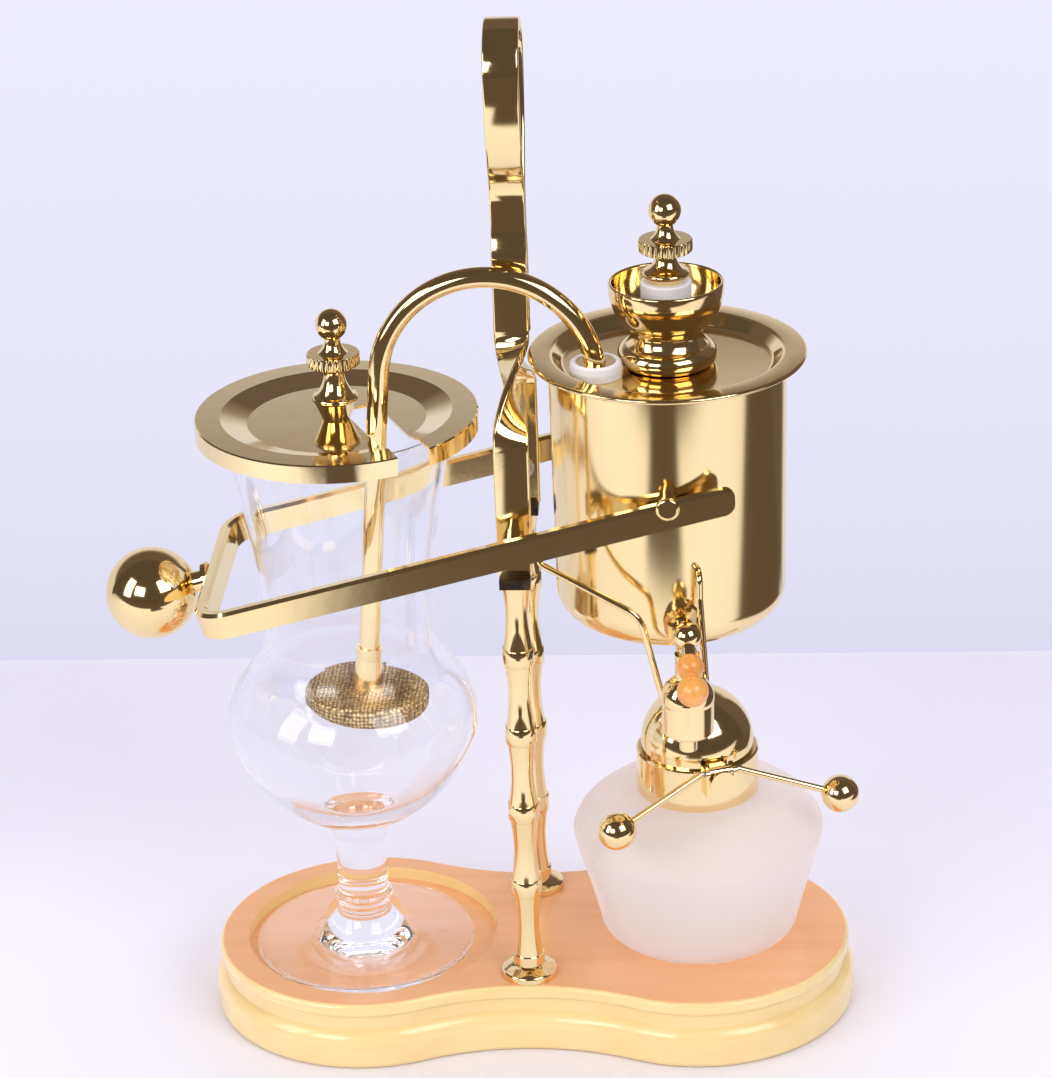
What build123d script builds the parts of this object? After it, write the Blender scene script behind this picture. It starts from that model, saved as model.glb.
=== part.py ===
"""Balance syphon coffee maker: wood base, tilting lever, boiler, siphon tube, stemmed glass and burner.

Millimetres, +Z up, origin at the centre of the base's underside, +X towards the boiler, -Y the front.
"""

import os
from math import acos, atan, cos, degrees, radians, sin, sqrt, tan

from build123d import *

# Fits
running_gap = 0.05
seat_gap = 0.1
moving_gap = 0.3

# Wood base
base_thickness = 27.5
lobe_radius = 59.5
lobe_offset = 65.5
waist_margin = 0.65
moulding_bulge = 2.0
moulding_height = 17.0
moulding_round = 7.0
cove_depth = 1.6
lip_height = 6.0
lip_round = 2.0
recess_depth = 5.0
recess_radius = 49.5
recess_shift = 3.0
foot_edge_round = 2.5

# Pillars and their fixings
pillar_to_lever = 11.1
pillar_height = 166.0
pillar_radius = 6.0
pillar_waist_radius = 4.3
pillar_plain_height = 9.4
pillar_groove = 0.45
band_height = 7.0
band_count = 4
foot_radius = 10.75
foot_height = 4.5
foot_round = 1.6
spigot_radius = 4.0
head_width = 11.5
head_height = 4.0
head_pin_radius = 2.5
head_pin_height = 1.6
screw_radius = 2.4
screw_grip = 15.0
screw_head_radius = 4.5
screw_head_height = 3.5
counterbore_depth = 9.0
counterbore_radius = 6.0

# Carrying handle
strip_width = 13.0
strip_thickness = 3.0
strip_flat_height = 51.0
strip_twist_height = 33.0
strip_twist_steps = 10
strip_upper_offset = 5.2
strip_neck_offset = 2.6
strip_upper_straight = 27.0
neck_bend_radius = 20.0
neck_straight = 8.0
loop_radius = 17.0
loop_rise = 50.0
loop_entry_radius = 22.0
tongue_width = 8.0
tongue_height = 2.0

# Balance lever
pivot_above_head = 14.6
pivot_pin_radius = 2.5
pivot_pin_head_radius = 4.5
pivot_pin_head_height = 1.5
pivot_pin_inset = 1.5
bush_radius = 4.5
lever_tilt = 14.4
lever_height = 10.0
lever_thickness = 5.0
lever_clearance = 1.2
lever_tail = 122.9
lever_nose_margin = 24.1
lever_corner = 15.0
lever_bevel = 1.2
trunnion_gap = 15.5
trunnion_offset = 3.65
ball_radius = 17.7
ball_neck = 5.8
ball_stud_radius = 4.0
ball_stud_depth = 8.0
ball_collar_radius = 6.5
ball_collar_height = 2.0
wire_radius = 1.25
trip_root = 8.5
trip_root_rise = 0.9
trip_lead = 3.4
trip_lead_run = 1.0
trip_lead_drop = 8.0
trip_knee_gap = 8.8
trip_knee_azimuth = -101.7
trip_knee_drop = 25.3
trip_drop = 62.0
trip_gap = 2.5
trip_azimuth = 131.3
trip_root_bend = 1.6
trip_lead_bend = 3.0
trip_knee_bend = 10.0

# Boiler
boiler_radius = 44.3
boiler_taper = 0.9
boiler_wall = 0.5
boiler_edge_round = 12.0
boiler_below_trunnion = 63.0
boiler_above_trunnion = 40.0
boiler_lid_overhang = 7.4
boiler_lid_rim_height = 1.8
boiler_lid_wall = 0.8
boiler_lid_dish = 5.0
boiler_lid_slope = 4.0
trunnion_radius = 3.65
trunnion_screw_head_radius = 4.4
trunnion_screw_head_height = 2.6
trunnion_screw_radius = 1.6
trunnion_screw_grip = 4.0
trunnion_screw_round = 1.3

# Filler cup and plug
filler_bore = 8.3
filler_base_share = 0.42
filler_base_bulge = 3.0
filler_base_height = 8.0
filler_waist_share = 0.3
filler_waist_bow = 0.6
filler_waist_height = 13.5
filler_rim_share = 0.481
filler_belly_bow = 1.6
filler_belly_share = 0.36
filler_inner_share = 0.42
filler_height = 32.0
filler_wall = 1.4
seal_radius = 9.4
seal_height = 17.0
seal_plug_depth = 7.0
plug_stem_radius = 3.6
knurl_radius = 10.0
knurl_height = 4.6
knurl_count = 30
knurl_depth = 0.5
plug_foot_radius = 7.0
plug_ring_rise = 4.0
plug_disc_height = 11.5
finial_ring_radius = 8.0
finial_ring_height = 2.4
finial_ring_bow = 0.7
finial_waist_radius = 4.2
finial_waist_bow = 0.9
finial_ball_radius = 6.1
finial_neck_radius = 3.0
finial_neck_bow = 1.7
finial_rise = 15.4

# Siphon tube, stopper and filter
tube_radius = 3.9
tube_bore = 3.2
tube_plane_share = 0.2822
tube_lean = 4.63
tube_arch_rise = 33.8
tube_leg_at_lid = -50.7
tube_leg_below_lid = 96.0
dip_clearance = 5.0
stopper_gap = 0.21
stopper_ring = 2.45
stopper_height = 6.0
stopper_bevel = 1.0
stopper_neck_inset = 1.85
stopper_neck_depth = 7.0
bush_wall = 3.5
bush_below_ring = 0.6
socket_length = 12.0
socket_top_radius = 4.9
socket_base_radius = 5.8
socket_overlap = 5.0
filter_share = 0.4825
filter_height = 8.0
filter_round = 2.6
cloth_wall = 0.8

# Tap
tap_azimuth = -84.0
tap_stand_off = 16.0
tap_height = -47.0
tap_pipe_radius = 3.8
tap_pipe_rise = 9.0
tap_collar_radius = 7.2
tap_collar_width = 3.0
tap_neck_radius = 4.6
tap_neck_gap = 1.7
tap_bell_radius = 9.6
tap_bell_height = 22.4
tap_bell_below_ball = 16.5
tap_bell_bevel = 1.0
tap_flare_share = 0.55
tap_shoulder_share = 0.86
tap_shoulder_bow = 2.0
tap_spout_radius = 3.3
tap_spout_bore = 2.2
tap_spout_length = 7.0
tap_ball_radius = 5.3
tap_stem_radius = 3.0
tap_stem_length = 12.0
tap_handle_slope = 34.6
tap_lobe_radius = 5.0
tap_lobe_reach = 13.0
tap_end_lobe_radius = 5.8
tap_end_lobe_reach = 23.0
tap_handle_neck = 3.0
tap_spindle_neck = 2.6
tap_handle_shoulder = 9.0
tap_tang_radius = 1.6
tap_tang_length = 6.0
stay_side = 6.0
stay_rise = 18.5
stay_stand_off = 4.6
stay_drop = 8.9
stay_splay = 1.2
stay_foot_share = 0.2
stay_bend = 3.0
stay_lower_bend = 4.0

# Stemmed glass and its lid
glass_to_tube = 16.3
glass_wall = 2.2
glass_height = 226.0
glass_foot_radius = 42.9
glass_foot_height = 3.0
glass_foot_bow = 0.6
glass_foot_rise = 2.0
glass_cone_radius = 21.0
glass_cone_height = 8.0
glass_cone_bow = 3.0
glass_cone_top = 10.0
glass_stem_radius = 10.0
glass_stem_bow = 0.4
glass_bead_radius = 11.0
glass_bead_inset = 1.0
glass_bead_bow = 0.6
glass_bead_height = 8.0
glass_bulb_floor = 59.0
glass_root_flare = 4.5
glass_root_drop = 2.0
glass_root_height = 12.0
glass_bulb_radius = 48.7
glass_bulb_height = 97.0
glass_corner_radius_share = 0.7
glass_corner_height_share = 0.3
glass_corner_wall_share = 0.8
glass_shoulder_bow = 1.8
glass_crook_step = 5.2
glass_crook_height = 122.0
glass_neck_radius = 33.0
glass_neck_height = 136.0
glass_neck_bow = 1.2
glass_neck_bow_drop = 1.0
glass_flare_share = 0.22
glass_mouth_radius = 46.5
glass_lid_overhang = 6.7
glass_lid_skirt = 7.0
glass_lid_wall = 1.0
glass_lid_dish = 3.0
glass_lid_dish_gap = 0.8
glass_lid_slope = 10.0
slot_width = 13.5
slot_azimuth = -65.0
slot_back = 27.4
slot_shift = 2.2
lid_knob_foot_radius = 5.0
lid_knob_ring_rise = 10.0
lid_knob_disc_height = 22.0
lid_knob_ball_radius = 6.0
lid_knob_rise = 15.6

# Burner and snuffer
burner_x = 66.0
burner_y = 5.0
jar_foot_radius = 39.0
jar_radius = 49.0
jar_side_bow = 1.4
jar_belly_height = 43.4
jar_shoulder_height = 61.0
jar_shoulder_radius_share = 0.78
jar_shoulder_drop_share = 0.32
jar_neck_radius = 22.0
jar_wall = 2.5
jar_height = 76.0
jar_foot_round = 6.0
collar_radius = 23.75
collar_height = 17.5
collar_wall = 1.2
wick_tube_radius = 4.5
wick_tube_wall = 0.8
wick_tube_rise = 11.0
wick_tube_depth = 22.0
wick_flange_width = 2.0
wick_flange_height = 1.0
wick_show = 4.0
wick_bevel = 1.0
wick_tail = 30.0
snuffer_radius = 21.9
snuffer_height = 24.5
snuffer_wall = 1.0
snuffer_side = 4.0
hinge_azimuth = -71.0
hinge_radius = 26.8
hinge_rise = 1.2
hinge_pin_radius = 1.2
knuckle_radius = 2.4
knuckle_length = 9.0
ear_thickness = 1.6
ear_height = 11.0
ear_rise = 2.0
pin_overhang = 2.6
leaf_thickness = 1.2
leaf_side_gap = 0.5
hub_disc_radius = 5.0
hub_disc_drop = 3.4
hub_disc_thickness = 1.6
rod_radius = 1.3
rod_ball_radius = 7.3
rod_ball_spread = 45.0
rod_ball_out = 11.0
rod_ball_drop = 12.0

# Levels and places that follow from the sizes above
base_top = base_thickness
recess_floor = base_top - recess_depth
leg_inner = boiler_radius + lever_clearance
leg_outer = leg_inner + lever_thickness
pillar_y = leg_inner - pillar_to_lever
waist_half_width = pillar_y + foot_radius + waist_margin
pillar_top = base_top + pillar_height
head_top = pillar_top + head_height
pivot_z = head_top + pivot_above_head
tilt = radians(lever_tilt)
trunnion_reach = boiler_radius + trunnion_gap
lever_nose = trunnion_reach + lever_nose_margin
boiler_x = trunnion_reach * cos(tilt) - trunnion_offset * sin(tilt)
trunnion_z = pivot_z + trunnion_reach * sin(tilt) + trunnion_offset * cos(tilt)
boiler_bottom = trunnion_z - boiler_below_trunnion
boiler_top = trunnion_z + boiler_above_trunnion
boiler_lid_radius = boiler_radius + boiler_lid_overhang
boiler_lid_top = boiler_top + boiler_lid_rim_height
boiler_dish = boiler_lid_top - boiler_lid_dish
filler_base_radius = boiler_radius * filler_base_share
filler_waist_radius = boiler_radius * filler_waist_share
filler_rim_radius = boiler_radius * filler_rim_share
bush_disc_radius = tube_radius + bush_wall
stopper_radius = bush_disc_radius + stopper_ring
stopper_neck_radius = stopper_radius - stopper_neck_inset
glass_top = recess_floor + glass_height
glass_lid_top = glass_top + glass_lid_wall
glass_lid_radius = glass_mouth_radius + glass_lid_overhang
glass_lid_dish_radius = glass_mouth_radius - glass_wall - glass_lid_dish_gap
filter_radius = glass_bulb_radius * filter_share
tap_reach = boiler_radius + tap_stand_off
stay_reach = boiler_radius + stay_stand_off
jar_shoulder = base_top + jar_shoulder_height
collar_top = jar_shoulder + collar_height
hinge_z = collar_top + hinge_rise

# The tube's arch is one arc that touches the leaning leg and the upright dip leg
tube_plane = -boiler_radius * tube_plane_share
dip_reach = filler_base_radius + stopper_radius + stopper_gap
dip_x = boiler_x - sqrt(dip_reach**2 - tube_plane**2)
tube_arch_top = boiler_lid_top + tube_arch_rise
lean = radians(tube_lean)
arch_span = (dip_x - tube_leg_at_lid) * cos(lean) - (tube_arch_top - glass_lid_top) * sin(lean)
arch_radius = arch_span / (1 + cos(lean) - sin(lean))
arch_x = dip_x - arch_radius
arch_z = tube_arch_top - arch_radius
glass_x = tube_leg_at_lid - glass_to_tube
stopper_x = arch_x + sqrt(arch_radius**2 - (boiler_dish + stopper_height / 2 - arch_z) ** 2)

STANDING = (Align.CENTER, Align.CENTER, Align.MIN)


def outline(start, *steps):
    """Close a flat outline: a point ends a straight run, a pair is an arc through its first to its second."""
    edges = []
    here = start
    for step in steps:
        if isinstance(step[0], tuple):
            edges.append(ThreePointArc(here, step[0], step[1]))
            here = step[1]
        else:
            edges.append(Line(here, step))
            here = step
    if here != start:
        edges.append(Line(here, start))
    return make_face(edges)


def turned(face, x=0.0, y=0.0):
    """Turn a (radius, height) outline about the upright axis through x, y."""
    return Pos(x, y, 0) * revolve(Plane.XZ * face, Axis.Z)


def rod(radius, start, end):
    """Plain round bar between two points."""
    run = Line(start, end)
    return sweep(Plane(origin=start, z_dir=run % 0) * Circle(radius), path=run)


def wire(points, radii, radius):
    """Round wire along straight runs with rounded corners."""
    path = FilletPolyline(*points, radius=radii)
    return sweep(Plane(origin=points[0], z_dir=path % 0) * Circle(radius), path=path)


def knurled_disc(radius, height):
    """Disc with a milled edge of straight teeth."""
    points = []
    for tooth in range(2 * knurl_count):
        reach = radius - knurl_depth * (tooth % 2)
        turn = radians(180 * tooth / knurl_count)
        points.append((reach * cos(turn), reach * sin(turn)))
    return extrude(make_face(Polyline(*points, close=True)), height)


# Wood base: lip, cove and rounded moulding over a figure-eight plan
def base_plan(grow):
    """Two lobes joined by hollow waists, all grown outwards alike."""
    lobe = lobe_radius + grow
    waist = waist_half_width + grow
    hollow = (lobe_offset**2 + waist**2 - lobe**2) / (2 * (lobe - waist))
    share = lobe / (lobe + hollow)
    x = lobe_offset * (1 - share)
    y = (waist + hollow) * share
    end = lobe_offset + lobe
    return outline(
        (x, y),
        ((end, 0), (x, -y)),
        ((0, -waist), (-x, -y)),
        ((-end, 0), (-x, y)),
        ((0, waist), (x, y)),
    )


def rounded_slab(grow, height, upper_round, lower_round):
    """Slab of the base's plan with its upper and lower edges rounded."""
    slab = extrude(base_plan(grow), height)
    slab = fillet(slab.edges().group_by(Axis.Z)[-1], upper_round)
    return fillet(slab.edges().group_by(Axis.Z)[0], lower_round)


recess_x = glass_x + recess_shift
moulding = rounded_slab(moulding_bulge, moulding_height, moulding_round, foot_edge_round)
lip = Pos(0, 0, base_top - lip_height) * rounded_slab(0, lip_height, lip_round, lip_round)
wood_base = moulding + extrude(base_plan(-cove_depth), base_top - lip_round) + lip
wood_base -= Pos(recess_x, 0, recess_floor) * Cylinder(recess_radius, base_thickness, align=STANDING)
for side in (-1, 1):
    place = Pos(0, side * pillar_y, 0)
    wood_base -= place * Cylinder(counterbore_radius, counterbore_depth, align=STANDING)
    wood_base -= place * Cylinder(screw_radius + seat_gap, base_thickness, align=STANDING)


# Screws up through the base, each with its head in a counterbore
def pillar_screw():
    """Pan-head screw, its head flush against the counterbore's floor."""
    shank_top = base_top + screw_grip - seat_gap
    head_bottom = counterbore_depth - screw_head_height
    return outline(
        (0, head_bottom),
        (screw_head_radius, head_bottom),
        (screw_head_radius, counterbore_depth),
        (screw_radius, counterbore_depth),
        (screw_radius, shank_top),
        (0, shank_top),
    )


pillar_screws = [turned(pillar_screw(), 0, side * pillar_y) for side in (-1, 1)]


# Pillars: a plain foot, then bands with hollow waists between them, like bamboo
def pillar_outline():
    """Half outline of a pillar, with the screw's bore up its foot and a pin on its top."""
    foot_top = base_top + foot_height
    ring = foot_top + pillar_plain_height - foot_height
    waist_height = (pillar_top - ring - band_count * band_height) / (band_count + 1)
    waist_edge = pillar_radius - pillar_groove
    bore = screw_radius + seat_gap
    steps = [(spigot_radius, base_top), (spigot_radius, foot_top)]
    steps += [(pillar_radius, foot_top), (pillar_radius, ring)]
    level = ring
    for band in range(band_count + 1):
        upper = level + waist_height
        steps.append((waist_edge, level))
        steps.append(((pillar_waist_radius, (level + upper) / 2), (waist_edge, upper)))
        if band < band_count:
            steps.append((pillar_radius, upper))
            steps.append((pillar_radius, upper + band_height))
        level = upper + band_height
    steps.append((head_pin_radius, pillar_top))
    steps.append((head_pin_radius, pillar_top + head_pin_height))
    steps.append((0, pillar_top + head_pin_height))
    steps.append((0, base_top + screw_grip))
    steps.append((bore, base_top + screw_grip))
    return outline((bore, base_top), *steps)


def pillar_foot():
    """Round foot with a domed edge, under the pillar's shoulder."""
    bore = spigot_radius + seat_gap
    top = base_top + foot_height
    slope = foot_round * (1 - sin(radians(45)))
    return outline(
        (bore, base_top),
        (foot_radius, base_top),
        (foot_radius, top - foot_round),
        ((foot_radius - slope, top - slope), (foot_radius - foot_round, top)),
        (bore, top),
    )


def head_block():
    """Square block on the pillar's pin, slotted for the handle's tongue."""
    block = Box(head_width, head_width, head_height, align=STANDING)
    block -= Cylinder(head_pin_radius + seat_gap, head_pin_height + seat_gap, align=STANDING)
    slot_floor = head_height - tongue_height - seat_gap
    block -= Pos(0, 0, slot_floor) * Box(
        tongue_width + 2 * seat_gap, strip_thickness + 2 * seat_gap, head_height, align=STANDING
    )
    return Pos(0, 0, pillar_top) * block


# Carrying handle: one flat strip, twisted half a turn on each side and bent into a loop
twist_bottom = head_top + strip_flat_height
twist_top = twist_bottom + strip_twist_height


def twist_section(share):
    """Cross-section of the strip at a share of its twist, square to its line."""
    ease = 3 * share**2 - 2 * share**3
    inward = pillar_y - strip_upper_offset
    slope = 6 * share * (1 - share) * inward / strip_twist_height
    along = Vector(0, slope, 1).normalized()
    across = Vector(0, along.Z, -along.Y)
    turn = radians(180 * share)
    width_way = Vector(1, 0, 0) * cos(turn) + across * sin(turn)
    centre = (0, -pillar_y + inward * ease, twist_bottom + strip_twist_height * share)
    return Plane(origin=centre, x_dir=width_way, z_dir=along) * Rectangle(strip_width, strip_thickness)


def handle_half():
    """Front half of the strip, from the block to the top of the loop."""
    flat = Pos(0, -pillar_y, head_top) * Box(strip_width, strip_thickness, strip_flat_height, align=STANDING)
    tongue = Pos(0, -pillar_y, head_top - tongue_height) * Box(
        tongue_width, strip_thickness, tongue_height, align=STANDING
    )
    twist = loft([twist_section(step / strip_twist_steps) for step in range(strip_twist_steps + 1)])
    pinch = degrees(acos(1 - (strip_upper_offset - strip_neck_offset) / (2 * neck_bend_radius)))
    spread = loop_radius - strip_neck_offset
    loop_turn = degrees(2 * atan(spread / loop_rise))
    loop_side = loop_rise / sin(radians(loop_turn)) - loop_entry_radius
    upper = Line((-strip_upper_offset, twist_top), (-strip_upper_offset, twist_top + strip_upper_straight))
    bend_in = JernArc(upper @ 1, upper % 1, neck_bend_radius, -pinch)
    bend_out = JernArc(bend_in @ 1, bend_in % 1, neck_bend_radius, pinch)
    neck = Line(bend_out @ 1, bend_out @ 1 + Vector(0, neck_straight))
    entry = JernArc(neck @ 1, neck % 1, loop_entry_radius, loop_turn)
    flank = JernArc(entry @ 1, entry % 1, loop_side, -loop_turn)
    crown = JernArc(flank @ 1, flank % 1, loop_radius, -90)
    path = Plane.YZ * Wire([upper, bend_in, bend_out, neck, entry, flank, crown])
    section = Plane(origin=(0, -strip_upper_offset, twist_top), x_dir=(1, 0, 0), z_dir=(0, 0, 1))
    return flat + tongue + twist + sweep(section * Rectangle(strip_width, strip_thickness), path=path)


front_half = handle_half()
carrying_handle = front_half + mirror(front_half, Plane.XZ)
pin_bore = pivot_pin_radius + running_gap
for side in (-1, 1):
    carrying_handle -= rod(pivot_pin_radius + seat_gap, (0, 0, pivot_z), (0, side * leg_inner, pivot_z))

# Pivot pins riveted through the strip, with a spacer bush between the strip and the lever
strip_inner = pillar_y - strip_thickness / 2
strip_outer = pillar_y + strip_thickness / 2
pin_end = leg_outer - pivot_pin_inset
lever_pivot_pins = []
lever_bushes = []
for side in (-1, 1):
    inside = (0, side * strip_inner, pivot_z)
    pin = rod(pivot_pin_radius, inside, (0, side * pin_end, pivot_z))
    head_inner = (0, side * (strip_inner - pivot_pin_head_height), pivot_z)
    lever_pivot_pins.append(pin + rod(pivot_pin_head_radius, head_inner, inside))
    bush_start = (0, side * strip_outer, pivot_z)
    bush_end = (0, side * (leg_inner - moving_gap), pivot_z)
    lever_bushes.append(rod(bush_radius, bush_start, bush_end) - rod(pin_bore, bush_start, bush_end))

# Balance lever: a strap bent to a U, drawn level about its pivot and then tilted
lever_place = Pos(0, 0, pivot_z) * Rot(0, -lever_tilt, 0)


def strap_plan(half_width, tail, corner):
    """Plan of the U: straight sides, with the two corners at the closed end rounded."""
    plan = Pos((lever_nose - tail) / 2, 0) * Rectangle(lever_nose + tail, 2 * half_width)
    return fillet(plan.vertices().group_by(Axis.X)[0], corner)


def lever_blank():
    """The strap with its upper edges bevelled and its two nose ends rounded."""
    plan = strap_plan(leg_outer, lever_tail, lever_corner)
    plan -= strap_plan(leg_inner, lever_tail - lever_thickness, lever_corner - lever_thickness)
    blank = Pos(0, 0, -lever_height / 2) * extrude(plan, lever_height)
    blank = chamfer(blank.edges().group_by(Axis.Z)[-1], lever_bevel)
    half = lever_height / 2
    nose = lever_nose - half
    side_view = outline(
        (-lever_tail, -half), (nose, -half), ((lever_nose, 0), (nose, half)), (-lever_tail, half)
    )
    return blank & extrude(Plane.XZ * side_view, leg_outer, both=True)


lever_strap = lever_blank()
notch_radius = trunnion_radius + running_gap
notch = Pos(trunnion_reach, 0, trunnion_offset) * (
    Rot(90, 0, 0) * Cylinder(notch_radius, 2 * leg_outer)
    + Box(2 * notch_radius, 2 * leg_outer, lever_height, align=STANDING)
)
lever_strap -= notch
for side in (-1, 1):
    lever_strap -= rod(pin_bore, (0, 0, 0), (0, side * (pin_end + seat_gap), 0))
ball_x = -(lever_tail + ball_neck + ball_radius)
stud_end = -(lever_tail + ball_neck + ball_stud_depth)
counterweight_stud = rod(ball_stud_radius, (-lever_tail, 0, 0), (stud_end, 0, 0))
counterweight_stud += rod(ball_collar_radius, (-lever_tail, 0, 0), (-lever_tail - ball_collar_height, 0, 0))
counterweight_ball = Pos(ball_x, 0, 0) * Sphere(ball_radius) - counterweight_stud
lever_strap = lever_place * lever_strap
counterweight_stud = lever_place * counterweight_stud
counterweight_ball = lever_place * counterweight_ball

# Trip wire: leaves the front leg's inner face below the pivot and hangs beside the tap
trip_z = pivot_z + trip_root_rise
trip_inner = -leg_inner + trip_lead
knee_reach = boiler_radius + trip_knee_gap
trip_reach = tap_bell_radius + wire_radius + trip_gap
tap_x = boiler_x + tap_reach * cos(radians(tap_azimuth))
tap_y = tap_reach * sin(radians(tap_azimuth))
knee_turn = radians(trip_knee_azimuth)
trip_turn = radians(trip_azimuth)
trip_wire = wire(
    [
        (trip_root, -leg_inner, trip_z),
        (trip_root, trip_inner, trip_z),
        (trip_root + trip_lead_run, trip_inner, trip_z - trip_lead_drop),
        (boiler_x + knee_reach * cos(knee_turn), knee_reach * sin(knee_turn), trip_z - trip_knee_drop),
        (tap_x + trip_reach * cos(trip_turn), tap_y + trip_reach * sin(trip_turn), trip_z - trip_drop),
    ],
    [trip_root_bend, trip_lead_bend, trip_knee_bend],
    wire_radius,
)


# Boiler shell: thin spun can, tapering a little downwards
def boiler_can(grow, floor):
    """Half outline of the can, grown by a wall, with its floor at a level."""
    lower = boiler_radius - boiler_taper + grow
    edge = boiler_edge_round + grow
    lift = edge * (1 - sin(radians(45)))
    return outline(
        (0, floor),
        (lower - edge, floor),
        ((lower - lift, floor + lift), (lower, floor + edge)),
        (boiler_radius + grow, boiler_top),
        (0, boiler_top),
    )


can_outside = turned(boiler_can(0, boiler_bottom), boiler_x)
boiler_shell = can_outside - turned(boiler_can(-boiler_wall, boiler_bottom + boiler_wall), boiler_x)


# Boiler lid: flat rim, then a slope down to a shallow dish
def lid_outline():
    """Half outline of the lid from its axis to its rim and back under."""
    stopper_reach = sqrt((boiler_x - stopper_x) ** 2 + tube_plane**2)
    dish_radius = stopper_reach + stopper_radius + seat_gap
    rim_inner = dish_radius + boiler_lid_slope
    under = boiler_dish - boiler_lid_wall
    return outline(
        (0, under),
        (dish_radius, under),
        (rim_inner - boiler_lid_wall, boiler_top),
        (boiler_lid_radius, boiler_top),
        (boiler_lid_radius, boiler_lid_top),
        (rim_inner, boiler_lid_top),
        (dish_radius, boiler_dish),
        (0, boiler_dish),
    )


boiler_lid = turned(lid_outline(), boiler_x)
stopper_place = Pos(stopper_x, tube_plane, boiler_dish)
boiler_lid -= Pos(boiler_x, 0, boiler_dish) * Cylinder(filler_bore, 3 * boiler_lid_wall)
boiler_lid -= stopper_place * Cylinder(stopper_neck_radius + seat_gap, 3 * boiler_lid_wall)

# Trunnions: stubs on the boiler's sides that hang in the lever's notches, with a screw in each end
trunnion_end = leg_outer + moving_gap
trunnions = []
trunnion_screws = []
for side in (-1, 1):
    stub_end = (boiler_x, side * trunnion_end, trunnion_z)
    stub = rod(trunnion_radius, (boiler_x, side * boiler_radius / 2, trunnion_z), stub_end) - can_outside
    bore_end = (boiler_x, side * (trunnion_end - trunnion_screw_grip), trunnion_z)
    trunnions.append(stub - rod(trunnion_screw_radius + seat_gap, bore_end, stub_end))
    head_end = (boiler_x, side * (trunnion_end + trunnion_screw_head_height), trunnion_z)
    shank_end = (boiler_x, side * (trunnion_end - trunnion_screw_grip + seat_gap), trunnion_z)
    head = rod(trunnion_screw_head_radius, stub_end, head_end)
    head = fillet(head.edges().sort_by(Axis.Y)[0 if side < 0 else -1], trunnion_screw_round)
    trunnion_screws.append(head + rod(trunnion_screw_radius, shank_end, stub_end))


# Filler cup: bulged ring on the lid, waist and open bowl
def filler_outline():
    """Half outline of the cup, bored through for the plug."""
    foot = boiler_dish
    waist = foot + filler_waist_height
    rim = foot + filler_height
    belly = (filler_rim_radius + filler_waist_radius) / 2 + filler_belly_bow
    base_edge = filler_base_radius - filler_base_bulge
    floor = waist + filler_wall
    return outline(
        (filler_bore, foot),
        (base_edge, foot),
        (
            (filler_base_radius, foot + filler_base_height / 2),
            (base_edge, foot + filler_base_height),
        ),
        (
            (filler_waist_radius + filler_waist_bow, foot + (filler_base_height + filler_waist_height) / 2),
            (filler_waist_radius, waist),
        ),
        ((belly, waist + (rim - waist) * filler_belly_share), (filler_rim_radius, rim)),
        (filler_rim_radius - filler_wall, rim),
        (
            (belly - filler_wall, waist + (rim - waist) * filler_inner_share),
            (filler_waist_radius - filler_wall, floor),
        ),
        (filler_bore, floor),
    )


filler_cup = turned(filler_outline(), boiler_x)

# Filler plug: white seal, milled disc, neck and ball, all drawn about the boiler's axis
seal_seat = boiler_dish + filler_waist_height + filler_wall
seal_top = seal_seat + moving_gap + seal_height
plug_seal = turned(
    outline(
        (plug_stem_radius + seat_gap, seal_seat - seal_plug_depth),
        (filler_bore - moving_gap, seal_seat - seal_plug_depth),
        (filler_bore - moving_gap, seal_seat + moving_gap),
        (seal_radius, seal_seat + moving_gap),
        (seal_radius, seal_top),
        (plug_stem_radius + seat_gap, seal_top),
    ),
    boiler_x,
)


def finial(stem_bottom, foot, foot_reach, ring_rise, disc_z, ball_z, ball_r):
    """Turned knob: stem, foot, flared ring, waist, milled disc, thin neck and ball."""
    disc_top = disc_z + knurl_height
    ring = foot + ring_rise
    ball_foot = ball_z - sqrt(ball_r**2 - finial_neck_radius**2)
    ring_edge = finial_ring_radius + finial_ring_bow
    waist_edge = finial_waist_radius + finial_waist_bow
    neck_edge = finial_neck_radius + finial_neck_bow
    body = turned(
        outline(
            (0, stem_bottom),
            (plug_stem_radius, stem_bottom),
            (plug_stem_radius, foot),
            (foot_reach, foot),
            (finial_ring_radius, ring - finial_ring_height),
            ((ring_edge, ring - finial_ring_height / 2), (finial_ring_radius, ring)),
            ((waist_edge, (2 * ring + disc_z) / 3), (finial_waist_radius, disc_z)),
            (finial_waist_radius, disc_top),
            ((neck_edge, (disc_top + ball_foot) / 2), (finial_neck_radius, ball_foot)),
            ((ball_r, ball_z), (0, ball_z + ball_r)),
        )
    )
    return body + Pos(0, 0, disc_z) * knurled_disc(knurl_radius, knurl_height)


plug_disc_z = seal_top + plug_disc_height
plug_ball_z = plug_disc_z + finial_rise
plug_knob = Pos(boiler_x, 0, 0) * finial(
    seal_seat - seal_plug_depth,
    seal_top,
    plug_foot_radius,
    plug_ring_rise,
    plug_disc_z,
    plug_ball_z,
    finial_ball_radius,
)

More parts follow.
